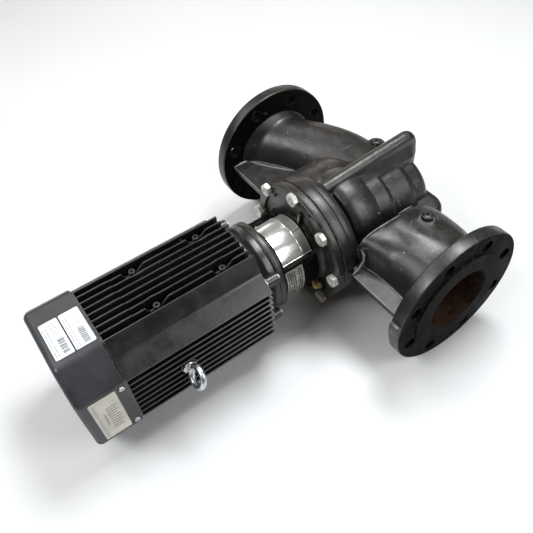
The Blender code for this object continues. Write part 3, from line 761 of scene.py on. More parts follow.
def bolt_hole(side, angle):
    """Cutter for a drilled hole with broken edges."""
    center = (BOLT_CIRCLE_RADIUS * math.cos(angle), BOLT_CIRCLE_RADIUS * math.sin(angle))
    profile = steps_from(FLANGE_BACK, BOLT_HOLE_RADIUS, (-130, 14), (-4, 14), (10, 0))
    profile += steps_from(FLANGE_RIM_FRONT, BOLT_HOLE_RADIUS, (-7, 0), (6, 13), (80, 13))
    return spun([(side * place, radius) for place, radius in profile], ALONG_Y, center, 36)


def near_bore():
    profile = steps_from(-FLANGE_FACE, BORE_RADIUS, (-150, 12), (0, 12), (12, 0))
    profile += steps_from(-BORE_END, BORE_RADIUS, (-100, 0), (0, -100))
    return spun(profile, ALONG_Y)


def bead(points, radius):
    """A thin raised lip that follows a line of points."""
    sides = 8
    last = len(points) - 1
    bm = bmesh.new()
    rings = []
    for i, point in enumerate(points):
        ahead = Vector(points[min(i + 1, last)]) - Vector(points[max(i - 1, 0)])
        turn = ahead.to_track_quat("Z", "Y")
        size = radius * (0.35 if i in (0, last) else 1.0)
        ring = []
        for k in range(sides):
            angle = math.tau * k / sides
            around = Vector((size * math.cos(angle), size * math.sin(angle), 0.0))
            ring.append(bm.verts.new(Vector(point) + turn @ around))
        rings.append(ring)
    skin(bm, rings)
    bm.faces.new(rings[0][::-1])
    bm.faces.new(rings[-1])
    return solid(bm)


def casting_lips(mat):
    """The thin lips along the webs and over the near pipe's boxy end, as radii and lines of x, y and z. Their
    light paint is partly chipped paint and partly a painted highlight: thin bright lines on the edges and creases.
    """
    top = 49
    near, far = -879, -899
    lips = [
        (15, [(-586, -1065), (-586, -1200), (-594, -1410), (-606, -1640), (-630, -1820), (-655, -2000)]),
        (14, [(near, -1060), (near, -1400), (near, -1700), (near, -2020)]),
        (19, [(near, -1050), (-830, -1045, 70), (-765, -1045, 110), (-715, -1050, 170), (-690, -1055, 250),
              (-680, -1035, 330), (-675, -980, 380)]),
        (17, [(-600, 1990), (-560, 1880), (-500, 1770), (-430, 1655), (-360, 1550), (-264, 1411), (-166, 1287)]),
        (24, [(-600, 2005, 60), (-750, 2015, 55), (far, 2018)]),
        (9, [(far, 2010), (far, 1700), (far, 1400), (far, 1120)]),
        (10, [(105, -864, 522), (250, -864, 522), (370, -864, 522)]),
    ]
    beads = []
    for radius, line in lips:
        points = tenths(*((x, y, *(height or [top])) for x, y, *height in line))
        beads.append(bead(points, radius / 10000))
    beads.insert(6, box_end_ridge())
    finish_piece(gathered(beads), "casting_lips", mat)


def rim_lug():
    """The stub that casting left on the near flange's rim."""
    return eased_box((-0.114, -0.2205, 0.003), (-0.104, -0.205, 0.023), 0.002)


def box_end_ridge():
    """The lip that bows over the near pipe's boxy end, from one x to another."""
    first, length, count = -0.064, 0.074, 12
    middle, half_width, half_height = 0.0117, 0.078, 0.054
    ridge = []
    for i in range(count + 1):
        x = first + length * i / count
        z = half_height * (1 - abs((x - middle) / half_width) ** 6) ** (1 / 6)
        ridge.append((x, -0.0908, z))
    return bead(ridge, 0.0011)


def casting_finish(x, y, z):
    """0 for paint, 1 for the rusty bores, 2 for the flanges' faces, front and back, and the bolt holes' walls:
    darker and duller, partly their own finish and partly painted shade.
    """
    middle = suction_middle(y) if y > 0 else 0.0
    reach = math.hypot(x, z)
    if math.hypot(x - middle, z) < BORE_RADIUS + 0.001 and 0.1 < abs(y) < FLANGE_FACE - 0.002:
        return 1
    front = abs(y) > FLANGE_RIM_FRONT - 0.0003 and reach < FLANGE_RADIUS - 0.001
    back = abs(y) > FLANGE_BACK - 0.0003 and 0.0735 < reach < FLANGE_RADIUS - 0.0015
    return 2 if front or back else 0


def pump_casting(mat, rust, face):
    hub = tenths((-900, 942), (-760, 942), (-700, 938), (-650, 926), (-622, 903), (-608, 865), (-602, 780))
    shapes = [drums(), scroll(), spun(hub), suction_pipe(PIPE_RADIUS, 0.206, -0.015, 0.012)]
    shapes += discharge_pipe()
    shapes += [mid_web(1), mid_web(-1), rib_bar(1), rib_bar(-1), side_bar(), near_hub()]
    for x, y, top in TAPPINGS:
        shapes.append(stud(steps_from(top, 0, (-220, 180), (-60, 150), (0, 140)), 48, (x, y)))
    body = fused(shapes, CAST_VOXEL, CAST_ROUNDS, CAST_KEEP, pipe_shoulder)
    roughened(body, CAST_WANDER, CAST_WAVE)
    flange = steps_from(HOUSING_FACE, HEAD_RADIUS, (0, -10), (4, -3), (12, 0))
    flange += tenths((-805, 980), (-788, 976), (-775, 965), (-768, 948), (-766, 920))
    join(body, spun(flange, segments=144), flange_disc(1), flange_disc(-1), rim_lug())
    cut(body, near_bore(), suction_pipe(BORE_RADIUS, 0.24, BORE_END))
    holes = [bolt_hole(side, 2 * math.pi * (i + 0.5) / 8) for side in (-1, 1) for i in range(8)]
    for x, y, top in TAPPINGS:
        groove = steps_from(top, 0, (-18, 86), (-18, 104), (40, 112), (40, 86))
        holes.append(turned(groove, ALONG_Z, (x, y), 48, closed=True))
    cut(body, gathered(holes))
    for vertex in body.data.vertices:
        vertex.co.x = min(vertex.co.x, FAR_END)
    finish_piece(body, "pump_casting", mat, ["pump_housing"], 28)
    add_finishes(body, (rust, face), casting_finish)


def stool_wall_shade(x, y, z):
    """1 for the middle of the stool's walls, which take the dark face finish as painted shade, 0 for paint."""
    return int(STOOL_RING_PUMP_SIDE < x < HEAD_FRONT - 0.004 and abs(z) < 0.033)


def motor_stool(mat, dark):
    head = [(HEAD_BACK, SHAFT_RADIUS + FIT), *steps_from(HEAD_BACK, HEAD_RADIUS, (0, -10), (-6, -2), (-16, 0))]
    head += steps_from(HEAD_FRONT, HEAD_RADIUS, (36, 0), (28, -4), (24, -16), (12, -20), (3, -26), (0, -36))
    head += steps_from(HEAD_FRONT, 0, (0, 400), (-30, 335), (-80, 290))
    head.append((HEAD_FRONT - 0.008, SHAFT_RADIUS + FIT))
    body = turned(head, segments=144, closed=True)
    recess = sector(-0.12, HEAD_FRONT + 0.004, 0.048, 0.083, 0.0, 359.999, 144)
    for k in range(8):
        cut(recess, rod(-0.13, -0.1, 0.015, center=polar(HEAD_BOLT_CIRCLE, 45 * k)))
    cut(body, recess)
    for first, last in (NEAR_WALL, FAR_WALL):
        wall = sector(STOOL_RING_PUMP_SIDE - 0.005, WALL_END, WALL_INNER_RADIUS, WALL_OUTER_RADIUS, first, last)
        join(body, wall, wall_foot(first, last))
    ring = [(STOOL_FACE, 0.046)]
    ring += steps_from(STOOL_FACE, STOOL_RING_RADIUS, (0, -12), (5, -4), (13, 0), (87, 0), (100, -5), (110, -16))
    ring += [(STOOL_RING_PUMP_SIDE, WALL_OUTER_RADIUS + 0.0004), (STOOL_RING_PUMP_SIDE, 0.046)]
    join(body, turned(ring, segments=144, closed=True))
    for angle in (100, 280):
        rib = eased_box((-0.1128, -0.003, 0.048), (-0.103, 0.003, 0.074), 0.0012)
        rib.data.transform(Matrix.Rotation(math.radians(angle - 90), 4, "X"))
        join(body, rib)
    jacking_hole = steps_from(HEAD_FRONT, 0, (-94, 42), (-1, 40), (10, 30), (86, 30))
    for angle in (112.5, 292.5):
        cut(body, spun(jacking_hole, center=polar(0.0903, angle), segments=36))
    vent_boss = steps_from(HEAD_FRONT, 0, (86, 105), (-12, 105), (-20, 97))
    join(body, spun(vent_boss, center=VENT_PLACE, segments=48))
    finish_piece(body, "stool_casting", mat, ["motor_stool"])
    # The walls' middles take the near-black face finish: painted shade.
    add_finishes(body, [dark], stool_wall_shade)


def wall_foot(first, last):
    """The flared foot of a stool wall, where it grows out of the pump head."""
    inner = arc((0, 0), WALL_INNER_RADIUS + 0.0002, last, first, 32)
    rows = []
    for place, grow in tenths((-1020, 50), (-1070, 40), (-1090, 26), (-1120, 10), (-1160, 3), (-1220, 0)):
        rows.append((place, arc((0, 0), WALL_OUTER_RADIUS + grow, first, last, 32) + inner))
    return loft(rows)


def coupling_guard(name, node, side, mat):
    """Polished sheet with a rolled bead, and its edges folded out against the walls."""
    sheet = 0.0012
    outside = tenths((-1660, 0), (-1325, 0), (-1312, 6), (-1298, 9), (-1284, 6), (-1270, 0), (-1145, 0))
    lift = [(0.007, -0.55), (0.005, -0.5), (0.003, -0.42), (0.0012, -0.15), (0.0003, 0.35), (0.0, 0.9)]
    stations = [(GUARD_RADIUS + up, FAR_WALL[1] + turn) for up, turn in lift]
    stations += [(GUARD_RADIUS, 23.5 + (149.5 - 23.5) * i / 60) for i in range(61)]
    stations += [(GUARD_RADIUS + up, NEAR_WALL[0] - turn) for up, turn in reversed(lift)]
    points = [Vector(polar(radius, degrees)) for radius, degrees in stations]
    bm = bmesh.new()
    loops = []
    for index, point in enumerate(points):
        along = (points[min(index + 1, len(points) - 1)] - points[max(index - 1, 0)]).normalized()
        inward = Vector((-along.y, along.x))
        beaded = 0 if stations[index][0] > GUARD_RADIUS + 0.0001 else 1
        rim = [(place, -beaded * out) for place, out in outside]
        rim += [(place, sheet - beaded * out) for place, out in reversed(outside)]
        loops.append([bm.verts.new((*(point + inward * depth), place)) for place, depth in rim])
    skin(bm, loops)
    bm.faces.new(loops[0])
    bm.faces.new(loops[-1])
    body = solid(bm, ALONG_X)
    if side < 0:
        body.data.transform(Matrix.Scale(-1, 4, Vector((0, 0, 1))))
        body.data.flip_normals()
    finish_piece(body, name, mat, [node], 25)


# The motor

def drive_end_shield(mat):
    profile = steps_from(SHIELD_FACE, STOOL_RING_RADIUS, (0, -10), (-10, 0), (-90, 0), (-115, 8), (-135, 26))
    profile += steps_from(SHIELD_FACE, SHIELD_RADIUS, (-200, -16), (-217, -4), (-237, 0))
    profile.append((STATOR_FRONT + FIT, SHIELD_RADIUS))
    body = spun(profile, segments=144)
    lug = tenths((-2080, 85), (-1918, 85), (-1910, 77))
    for sy, sz in CORNERS:
        join(body, spun(lug, center=(sy * LUG_Y, sz * LUG_Z), segments=40))
    finish_piece(body, "drive_end_casting", mat, ["drive_end_shield"])


def fin_tip(side, middle, width=0.0026):
    """The rounded tip of one fin in the section's outline."""
    half = width / 2
    low = side - 0.0009
    eased_half = half - 0.0006
    return [(middle + half, low), (middle + eased_half, side), (middle - eased_half, side), (middle - half, low)]


def fin_root_height(offset):
    return math.sqrt(CORE_RADIUS ** 2 - offset ** 2)


def stator_outline():
    """The finned section. On its top only the outer two fins are in it, as the others aren't straight."""
    half_root = 0.002
    middle = (FINS_PER_SIDE - 1) / 2
    outline = []
    for quarter in range(4):
        side = [(VALLEY + 0.001, VALLEY - 0.0014), (VALLEY - 0.0014, VALLEY + 0.001)]
        for k in range(FINS_PER_SIDE):
            y = (middle - k) * FIN_PITCH
            if quarter == 1 and 0 < k < FINS_PER_SIDE - 1:
                side.append((y, fin_root_height(y)))
                continue
            if k > 0:
                side.append((y + half_root + 0.0004, fin_root_height(y + half_root)))
            side += fin_tip(FIN_TIP, y)
            if k < FINS_PER_SIDE - 1:
                side.append((y - half_root - 0.0004, fin_root_height(y - half_root)))
        outline += rotated(side, 90 * (quarter - 1))
    return outline


def top_fin(k):
    """A fin on the motor's top: higher at the fan end, cut down beside a boss, or bowed around it."""
    y = (4 - k) * FIN_PITCH
    high, low, floor = 0.0874, 0.0775, 0.0765
    places = {STATOR_BACK, STEP_PLACE - 0.0035, STEP_PLACE, STATOR_FRONT}
    for boss in BOSS_PLACES:
        places |= {boss + side * away * 0.001 for away in (0, 3, 5, 7, 9, 12, 15, 18, 22) for side in (-1, 1)}
    rows = []
    for x in sorted(places):
        tip = high if x < STEP_PLACE - 0.002 else FIN_TIP
        center = y
        for boss in BOSS_PLACES:
            away = x - boss
            if k in (1, 7) and abs(away) < 0.0175:
                if away > 0.0065:
                    tip = min(tip, low + (away - 0.0065) / 0.011 * (FIN_TIP - low))
                elif away > -0.0115:
                    tip = min(tip, floor)
                else:
                    tip = min(tip, floor + min(1.0, (-0.0115 - away) / 0.0015) * (FIN_TIP - floor))
            if k in (2, 6):
                center += (-1 if k == 2 else 1) * 0.001 * math.exp(-(away / 0.007) ** 2)
        rows.append((x, [(center - 0.0022, 0.06), (center + 0.0022, 0.06)] + fin_tip(tip, center)))
    return loft(rows)


def stator(mat):
    body = prism(stator_outline(), STATOR_BACK, STATOR_FRONT)
    for k in range(1, FINS_PER_SIDE - 1):
        join(body, top_fin(k))
    boss = tenths((550, 58), (770, 50), (815, 47), (820, 42))
    for x in BOSS_PLACES:
        for y in (-3 * FIN_PITCH, 3 * FIN_PITCH):
            join(body, stud(boss, 40, (x, y)))
            cut(body, rod(0.07, 0.09, 0.002, ALONG_Z, (x, y), 32))
    seat_low = (BOX_BACK - 0.003, -BOX_HALF_WIDTH - 0.0028, -0.15)
    cut(body, box(seat_low, (BOX_FRONT + 0.003, BOX_HALF_WIDTH + 0.0028, -BOX_SEAT + FIT)))
    seat = steps_from(-FIN_TIP, 0, (0, 108), (8, 116), (263, 125))
    join(body, spun(seat, ALONG_Y, (EYE_CENTER.z, EYE_CENTER.x), 48))
    finish_piece(body, "finned_housing", mat, ["stator_housing"], 10)


def eyebolt(mat):
    turn = Matrix.Translation(EYE_CENTER) @ Matrix.Rotation(EYE_TURN, 4, "Y")
    wire, sides = 0.0044, 20
    profile = []
    for i in range(sides):
        angle = 2 * math.pi * i / sides
        profile.append((wire * math.sin(angle), 0.0143 + wire * math.cos(angle)))
    ring = turned(profile, turn, segments=72, closed=True)
    foot = -FIN_TIP - FIT
    shank = [(EYE_CENTER.y + 0.012, 0.0052), *steps_from(foot, 0, (-40, 74), (-26, 100), (0, 100))]
    body = fused([ring, spun(shank, ALONG_Y, (EYE_CENTER.z, EYE_CENTER.x), 48)], 0.0006, 4)
    finish_piece(body, "forged_eyebolt", mat, ["lifting_eyebolt"])


def rotated(outline, degrees):
    turn = Matrix.Rotation(math.radians(degrees), 2)
    return [tuple(turn @ Vector(point)) for point in outline]


def cover_outline(inset, steps=8):
    """The fan cover's section, a square with broad chamfers and rounded corners, drawn inset."""
    half = COVER_HALF - COVER_ROUND
    reach = COVER_FLAT - (math.sqrt(2) - 1) * COVER_ROUND
    radius = COVER_ROUND - inset
    corner = arc((half, reach), radius, 0, 45, steps) + arc((reach, half), radius, 45, 90, steps)
    return [point for quarter in range(4) for point in rotated(corner, 90 * quarter)]


def cover_shell(inset):
    round_over = 0.008
    outlines = [(COVER_FRONT + (0.01 if inset > 0 else 0.0), cover_outline(inset))]
    for across, along in arc((0, 0), round_over, 0, 90, 10):
        outlines.append((FAN_END + inset + round_over - along, cover_outline(inset + round_over - across)))
    return loft(outlines)


def fan_cover(mat):
    body = cover_shell(0.0)
    cut(body, cover_shell(COVER_WALL))
    for side in (-1, 1):
        low, high = sorted((side * (COVER_HALF - 0.0007), side * (COVER_HALF + 0.01)))
        cut(body, eased_box((-0.447, low, -0.05), (-0.424, high, 0.05), 0.0006))
    slots = []
    gap, slot_width = 4.5, 0.0055
    for row in range(4):
        inner = 0.022 + row * 0.0115
        for k in range(6):
            first = 60 * k + gap + 30 * (row % 2)
            last = 60 * (k + 1) - gap + 30 * (row % 2)
            slots.append(sector(FAN_END - 0.01, FAN_END + 0.008, inner, inner + slot_width, first, last, 20))
    cut(body, gathered(slots))
    finish_piece(body, "pressed_fan_cover", mat, ["fan_cover"], 30)


# Fasteners and fittings

def hex_outline(width):
    return [polar(width / math.sqrt(3), 60 * i) for i in range(6)]


def hex_head(width, height, hollow=0.0):
    """A hexagon head on its washer face, chamfered on its corners, drawn upwards from z = 0."""
    corner = width / math.sqrt(3)
    flat = 0.46 * width
    drop = (corner - flat) * math.tan(math.radians(30))
    washer = 0.475 * width
    head = prism(hex_outline(width), 0.0006, height, ALONG_Z)
    combine(head, [stud([(-0.001, corner + 0.001), (height - drop, corner), (height, flat)], 72)], "INTERSECT")
    join(head, stud([(0, washer), (0.0008, washer)]))
    if hollow > 0:
        cut(head, stud([(height - hollow, 0.2 * width), (height + 0.001, 0.24 * width)], 32))
    return head


def placed(obj, point, direction, twist=0.0):
    """Stands an object, drawn upwards from z = 0, on a point and facing a direction."""
    turn = Vector(direction).to_track_quat("Z", "Y").to_matrix().to_4x4()
    obj.data.transform(Matrix.Translation(Vector(point)) @ turn @ Matrix.Rotation(math.radians(twist), 4, "Z"))
    return obj


def head_bolts(clean, dirty):
    bolts = []
    for k, twist in enumerate((17, 48, 9, 33, 55, 24, 40, 5)):
        point = (HEAD_FRONT, *polar(HEAD_BOLT_CIRCLE, 45 * k))
        bolt = placed(hex_head(0.018, 0.008, 0.0009), point, (-1, 0, 0), twist)
        if k == 5:
            finish_piece(bolt, "dull_head_bolt", dirty)
        else:
            bolts.append(bolt)
    finish_piece(gathered(bolts), "head_bolts", clean)


def motor_bolts(mat):
    tail = tenths((0, 37), (30, 37), (36, 31))
    bolts = []
    for sy, sz in CORNERS:
        y, z = sy * LUG_Y, sz * LUG_Z
        bolts.append(placed(hex_head(0.013, 0.005), (-0.208, y, z), (-1, 0, 0), 20 * sy + 7 * sz))
        bolts.append(placed(stud(tail, 32), (-0.191, y, z), (1, 0, 0)))
    finish_piece(gathered(bolts), "motor_flange_bolts", mat)


def pan_screw(radius, height):
    """A pan-head screw with a cross recess, drawn upwards from z = 0."""
    shape = ((0, 1), (0.35, 1), (0.7, 0.9), (0.92, 0.66), (1, 0.35))
    screw = stud([(up * height, out * radius) for up, out in shape])
    arm = 0.6 * radius
    half = 0.1 * radius
    for x, y in ((arm, half), (half, arm)):
        cut(screw, box((-x, -y, 0.45 * height), (x, y, 2 * height)))
    return screw


def cover_screws(mat):
    screws = []
    for side in (-1, 1):
        for z, twist in ((0.04, 12), (-0.042, 37)):
            point = (-0.4395, side * (COVER_HALF - 0.0009), z)
            screws.append(placed(pan_screw(*M5_SCREW), point, (0, side, 0), twist))
    finish_piece(gathered(screws), "cover_screws", mat)


def guard_screws(mat):
    screws = []
    for x in (-0.152, -0.126):
        for angle in (27.0, 333.0):
            direction = Vector((0.0, *polar(1.0, angle)))
            point = Vector((x, 0, 0)) + GUARD_RADIUS * direction
            screws.append(placed(pan_screw(0.0032, 0.0018), point, direction, 30))
    finish_piece(gathered(screws), "guard_screws", mat)


def vent_plug(mat):
    body = hex_head(0.0125, 0.0062)
    join(body, stud(tenths((-2, 74), (12, 74), (16, 68))))
    join(body, stud(tenths((40, 34), (80, 32), (86, 25)), 32))
    placed(body, (HEAD_FRONT - 0.002 - FIT, *VENT_PLACE), (-1, 0, 0), 10)
    finish_piece(body, "brass_vent_plug", mat, ["vent_plug"])


def tapping_plug(name, node, place, mat):
    """A round dome with a hexagon socket."""
    body = stud(tenths((0, 80), (16, 80), (30, 72), (40, 58), (44, 42)))
    cut(body, prism(hex_outline(0.006), 0.0022, 0.006, ALONG_Z))
    x, y, top = place
    placed(body, (x, y, top + FIT), (0, 0, 1), 14)
    finish_piece(body, name, mat, [node])


def box_loft(half_x, half_y, corner, rows):
    """A box about the terminal box's middle: each row holds a place and how far it is drawn in there."""
    middle = ((BOX_BACK + BOX_FRONT) / 2, 0.0)
    outlines = []
    for place, inset in rows:
        outline = rounded_rectangle(half_x - inset, half_y - inset, corner - inset, 8, middle)
        outlines.append((place, outline))
    return loft(outlines, ALONG_Z)


def terminal_box(mat):
    rows = steps_from(-LID_SEAT + FIT, 0, (0, 8), (8, 0)) + tenths((-780, 0), (-740, 10), (-705, 12))
    body = box_loft((BOX_FRONT - BOX_BACK) / 2, BOX_HALF_WIDTH, 0.008, rows)
    face = BOX_HALF_WIDTH + FIT - 0.0001
    for x in (BOX_BACK + ENTRY_INSET, BOX_FRONT - ENTRY_INSET):
        join(body, spun([(0.044, 0.0135), (face, 0.013)], ALONG_Y, (-GLAND_DEPTH, x), 48))
    finish_piece(body, "terminal_box_casting", mat, ["terminal_box"])


def terminal_box_lid(mat, screw_mat):
    half_x = (BOX_FRONT - BOX_BACK) / 2 + 0.001
    half_y = BOX_HALF_WIDTH + 0.001
    rows = steps_from(-FLANGE_RADIUS, 0, (0, 20), (6, 9), (18, 0)) + steps_from(-LID_SEAT, 0, (-4, 0), (0, 4))
    body = box_loft(half_x, half_y, 0.009, rows)
    floor = -FLANGE_RADIUS + 0.0028
    screws = []
    for sx, sy in CORNERS:
        x = (BOX_BACK + BOX_FRONT) / 2 + sx * (half_x - 0.0085)
        y = sy * (half_y - 0.0085)
        cut(body, rod(-0.12, floor, 0.005, ALONG_Z, (x, y), 36))
        screws.append(placed(pan_screw(*M5_SCREW), (x, y, floor), (0, 0, -1), 25 * sx))
    finish_piece(body, "terminal_box_cover", mat, ["terminal_box_lid"])
    finish_piece(gathered(screws), "lid_screws", screw_mat)


def cable_gland(mat):
    body = hex_head(0.021, 0.006)
    join(body, stud(tenths((40, 98), (95, 98))))
    dome = stud(tenths((90, 108), (100, 112), (175, 110), (215, 88), (228, 68)), 72)
    grooves = []
    for i in range(18):
        angle = 2 * math.pi * i / 18
        place = (0.0116 * math.cos(angle), 0.0116 * math.sin(angle))
        grooves.append(rod(0.0098, 0.0185, 0.0009, ALONG_Z, place, 12))
    cut(dome, gathered(grooves))
    join(body, dome)
    cut(body, stud(tenths((150, 48), (215, 50), (240, 58))))
    placed(body, (BOX_BACK + ENTRY_INSET, BOX_HALF_WIDTH + FIT, -GLAND_DEPTH), (0, 1, 0))
    finish_piece(body, "ribbed_cable_gland", mat, ["cable_gland"])


def entry_plug(mat):
    body = hex_head(0.02, 0.005, 0.001)
    placed(body, (BOX_FRONT - ENTRY_INSET, BOX_HALF_WIDTH + FIT, -GLAND_DEPTH), (0, 1, 0), 15)
    finish_piece(body, "hexagon_entry_plug", mat, ["entry_plug"])


# Labels and nameplate, with plain bars only

def sticker(name, node, low, high, frame, face, mat):
    """A thin sticker with rounded corners, between two corners on a flat face."""
    middle = ((low[0] + high[0]) / 2, (low[1] + high[1]) / 2)
    outline = rounded_rectangle((high[0] - low[0]) / 2, (high[1] - low[1]) / 2, 0.002, 6, middle)
    body = prism(outline, face, face + math.copysign(STICKER_THICKNESS, face), frame)
    finish_piece(body, name, mat, [node], 20)


def print_bars(name, bars, frame, face, mat):
    """Printed bars on a sticker, as thin as ink."""
    face += math.copysign(STICKER_THICKNESS, face)
    end = face + math.copysign(0.00006, face)
    strips = [prism(rectangle(low, high), face, end, frame) for low, high in bars]
    finish_piece(gathered(strips), name, mat)


def line_bars(x_low, x_high, y_low, y_high, rows, lengths):
    """Rows of short bars that stand for lines of small print."""
    bars = []
    pitch = (x_high - x_low) / rows
    for row in range(rows):
        x = x_low + row * pitch
        y = y_low
        k = row
        while y < y_high - 0.002:
            end = min(y + lengths[k % len(lengths)], y_high)
            bars.append(((x, y), (x + 0.45 * pitch, end)))
            y = end + 0.0012
            k += 1
    return bars


def code_bars(x_low, x_high, y_low, y_high, widths):
    """A row of plain bars whose widths and gaps follow the digits."""
    bars = []
    y = y_low
    k = 0
    while y < y_high:
        width = int(widths[k % len(widths)]) * 0.0004
        bars.append(((x_low, y), (x_high, min(y + width, y_high))))
        y += width + int(widths[(3 * k + 1) % len(widths)]) * 0.00045
        k += 1
    return bars


def labels(white, beige, ink, faint, brown):
    top = COVER_HALF + FIT
    for name, node, low, high in (
        ("upper_sticker_back", "upper_label_back", -0.487, -0.463),
        ("upper_sticker_front", "upper_label_front", -0.461, -0.435),
    ):
        sticker(name, node, (low, -0.04), (high, 0.021), ALONG_Z, top, white)
    bars = code_bars(-0.475, -0.4668, -0.036, -0.01, "1213112")
    bars += code_bars(-0.4487, -0.4405, -0.036, -0.01, "2113121")
    print_bars("upper_sticker_codes", bars, ALONG_Z, top, ink)
    bars = line_bars(-0.485, -0.478, -0.037, 0.012, 2, (0.011, 0.006, 0.014, 0.008))
    bars += line_bars(-0.475, -0.4668, -0.006, 0.016, 3, (0.006, 0.009))
    bars += line_bars(-0.459, -0.452, -0.037, 0.014, 2, (0.008, 0.013, 0.005, 0.01))
    bars += line_bars(-0.4487, -0.4405, -0.006, 0.016, 3, (0.008, 0.005))
    print_bars("upper_sticker_lines", bars, ALONG_Z, top, faint)
    side = Matrix(((1, 0, 0), (0, 0, 1), (0, 1, 0))).to_4x4()
    sticker("side_sticker", "side_label", (-0.484, -0.044), (-0.448, 0.0455), side, -top, beige)
    bars = []
    for i in range(10):
        z = 0.02 - 0.0054 * i
        reach = (0.0, 0.0022, 0.0008, 0.0042, 0.0014)[i % 5]
        bars.append(((-0.468, z), (-0.452 - reach, z + 0.0016)))
    bars += code_bars(-0.473, -0.4705, -0.015, 0.012, "2131")
    print_bars("side_sticker_lines", bars, side, -top, brown)
    bars = code_bars(-0.4815, -0.4775, -0.04, 0.04, "13121123")
    print_bars("side_sticker_codes", bars, side, -top, faint)


def nameplate_bars(mat):
    """Plain bars round the stool's plate, each from one angle to another."""
    radius = WALL_OUTER_RADIUS + FIT + 0.0008
    strips = []
    for x, spans in (
        (-0.1705, ((157, 170), (173, 204))),
        (-0.1668, ((157, 178), (181, 192), (195, 204))),
        (-0.1631, ((157, 165), (168, 186), (189, 204))),
        (-0.1594, ((157, 183), (186, 204))),
        (-0.152, ((157, 168), (171, 189), (192, 204))),
        (-0.1483, ((157, 175), (178, 204))),
    ):
        for first, last in spans:
            strips.append(sector(x, x + 0.0019, radius, radius + 0.00008, first, last, 6))
    finish_piece(gathered(strips), "nameplate_bars", mat)


# Floor, lights and camera

def floor():
    s = Shader("pale_floor")
    mat = s.finish(s.mix(s.noise(2.0, 2.0), (0.68, 0.68, 0.67), (0.72, 0.72, 0.71)), 0.75)
    bm = bmesh.new()
    half = 6.0
    bm.faces.new([bm.verts.new((x, y, 0.0)) for x, y in rectangle((-half, -half), (half, half))])
    obj = solid(bm)
    obj.name = "floor"
    obj.data.materials.append(mat)


def area_light(name, azimuth, elevation, size, power, color):
    """A soft light that faces the pump from 2 m. Angles are in degrees, azimuth from +X towards +Y."""
    lift = math.radians(elevation)
    away = Vector((*polar(math.cos(lift), azimuth), math.sin(lift)))
    data = bpy.data.lights.new(name, "AREA")
    data.shape = "RECTANGLE"
    data.size, data.size_y = size
    data.energy = power
    data.color = color
    obj = bpy.data.objects.new(name, data)
    obj.location = LIGHT_TARGET + LIGHT_DISTANCE * away
    obj.rotation_euler = (-away).to_track_quat("-Z", "Y").to_euler()
    bpy.context.scene.collection.objects.link(obj)


def lights():
    world = bpy.data.worlds.new("studio")
    world.use_nodes = True
    background = world.node_tree.nodes["Background"]
    background.inputs["Color"].default_value = (1.0, 0.955, 0.9, 1.0)
    background.inputs["Strength"].default_value = 0.08
    bpy.context.scene.world = world
    cool = (0.94, 0.965, 1.0)
    area_light("left", 176, 47, (1.0, 0.5), 24.0, cool)
    area_light("overhead", 16, 68, (0.9, 0.6), 37.0, cool)
    area_light("right", 300, 38, (0.7, 1.2), 19.0, cool)
    area_light("back", 60, 12, (1.2, 0.5), 4.0, (1.0, 0.95, 0.88))
    area_light("back_left", 118, 50, (1.2, 1.0), 11.0, (1.0, 1.0, 1.0))


def camera():
    data = bpy.data.cameras.new("camera")
    data.sensor_width = 36.0
    data.lens = 39.57
    obj = bpy.data.objects.new("camera", data)
    right = Vector((0.8135, -0.5781, -0.0641))
    down = Vector((-0.4777, -0.6012, -0.6406))
    forward = Vector((0.3318, 0.5517, -0.7652))
    turn = Matrix((right, -down, -forward)).transposed().to_4x4()
    obj.matrix_world = Matrix.Translation(Vector((-0.4613, -0.4895, 0.664)) + ORIGIN) @ turn
    bpy.context.scene.collection.objects.link(obj)
    bpy.context.scene.camera = obj


def repaint(mat, *nodes):
    """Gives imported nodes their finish."""
    for node in nodes:
        for slot in bpy.data.objects[node].material_slots:
            slot.material = mat


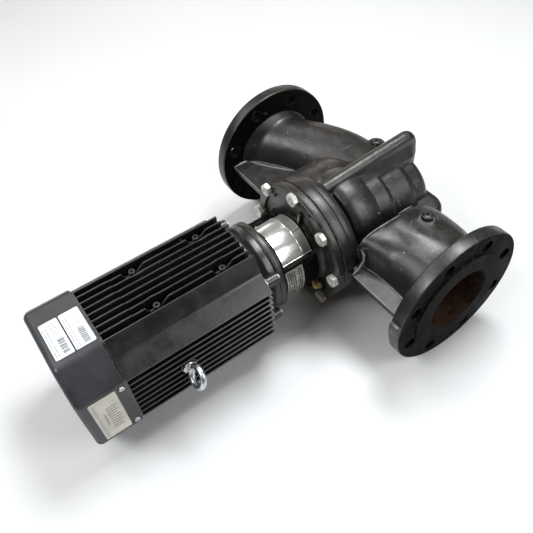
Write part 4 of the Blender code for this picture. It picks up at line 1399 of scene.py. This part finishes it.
def main():
    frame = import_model()

    casting = cast_paint("black_casting_paint", (0.005, 0.0042, 0.0033), (0.0165, 0.0136, 0.0106))
    stool_paint = cast_paint("black_stool_paint", (0.005, 0.0043, 0.0034), (0.0165, 0.0138, 0.0109))
    # Near-black paint that barely reflects: partly the flange faces' own finish, partly painted shade on the
    # flanges, bolt holes and stool walls.
    face = cast_paint(
        "dark_face_and_painted_shade", (0.0013, 0.0011, 0.0008), (0.0036, 0.0028, 0.0019), 0.25, (0.6, 0.72), 0.06)
    # Light grey lip paint: partly wear and partly painted highlight along the casting's edges and creases.
    lip = cast_paint("worn_lip_and_painted_highlight", (0.1, 0.1, 0.105), (0.26, 0.26, 0.27), 1.0, (0.3, 0.45))
    paint = motor_paint()
    cover = cover_paint()
    stainless = metal(
        "polished_stainless", (0.7, 0.69, 0.65), (0.8, 0.79, 0.75), (0.19, 0.26), (1, 4, 4), 22.0, None, 0.75)
    steel = metal("turned_steel", (0.3, 0.3, 0.31), (0.5, 0.5, 0.5), (0.28, 0.42), (9, 1, 1), 120.0)
    zinc = metal("zinc_plate", (0.5, 0.51, 0.52), (0.74, 0.75, 0.76), (0.28, 0.44))
    galvanized = metal(
        "bolt_zinc", (0.47, 0.47, 0.42), (0.64, 0.64, 0.585), (0.42, 0.55), scale=90.0, metallic=0.55)
    dull = metal(
        "dull_bolt", (0.22, 0.19, 0.165), (0.42, 0.38, 0.34), (0.45, 0.65), stain=(0.13, 0.1, 0.075), metallic=0.6)
    brass = metal(
        "brass", (0.5, 0.34, 0.11), (0.74, 0.53, 0.22), (0.3, 0.5), stain=(0.32, 0.22, 0.11), metallic=0.8)
    plastic = matt("black_plastic", (0.012, 0.012, 0.013), (0.024, 0.024, 0.025), 0.5, 60.0)
    fibre = matt("gasket_fibre", (0.05, 0.05, 0.048), (0.1, 0.1, 0.095), 0.85, 200.0, 0.3)
    plate = metal("plate_metal", (0.36, 0.35, 0.32), (0.6, 0.59, 0.55), (0.35, 0.5), stain=(0.22, 0.18, 0.14))
    white = matt("label_white", (0.6, 0.625, 0.65), (0.7, 0.72, 0.74), 0.45, 40.0)
    beige = matt("label_beige", (0.56, 0.53, 0.45), (0.7, 0.67, 0.58), 0.5, 30.0)
    ink = matt("label_ink", (0.03, 0.03, 0.03), (0.07, 0.068, 0.065), 0.55, 300.0)
    faint = matt("faint_ink", (0.36, 0.36, 0.35), (0.46, 0.46, 0.45), 0.55, 300.0)
    brown = matt("brown_ink", (0.17, 0.15, 0.12), (0.24, 0.21, 0.17), 0.55, 300.0)

    pump_casting(casting, rusty_bore(), face)
    casting_lips(lip)
    motor_stool(stool_paint, face)
    coupling_guard("upper_guard_sheet", "upper_coupling_guard", 1, stainless)
    coupling_guard("lower_guard_sheet", "lower_coupling_guard", -1, stainless)
    head_bolts(galvanized, dull)
    vent_plug(brass)
    tapping_plug("outlet_plug_hexagon", "outlet_tapping_plug", OUTLET_TAPPING, stool_paint)
    tapping_plug("inlet_plug_hexagon", "inlet_tapping_plug", INLET_TAPPING, stool_paint)

    drive_end_shield(paint)
    motor_bolts(galvanized)
    stator(paint)
    eyebolt(zinc)
    fan_cover(cover)
    cover_screws(zinc)
    guard_screws(zinc)
    terminal_box(paint)
    terminal_box_lid(paint, zinc)
    cable_gland(plastic)
    entry_plug(plastic)
    labels(white, beige, ink, faint, brown)
    nameplate_bars(ink)

    repaint(fibre, "housing_gasket")
    repaint(steel, "pump_shaft", "shaft_coupling", "fan_shaft")
    repaint(plate, "nameplate")
    repaint(paint, "fan_end_shield")
    repaint(plastic, "cooling_fan")

    floor()
    lights()
    camera()
    bpy.context.scene.view_settings.view_transform = "Standard"


main()
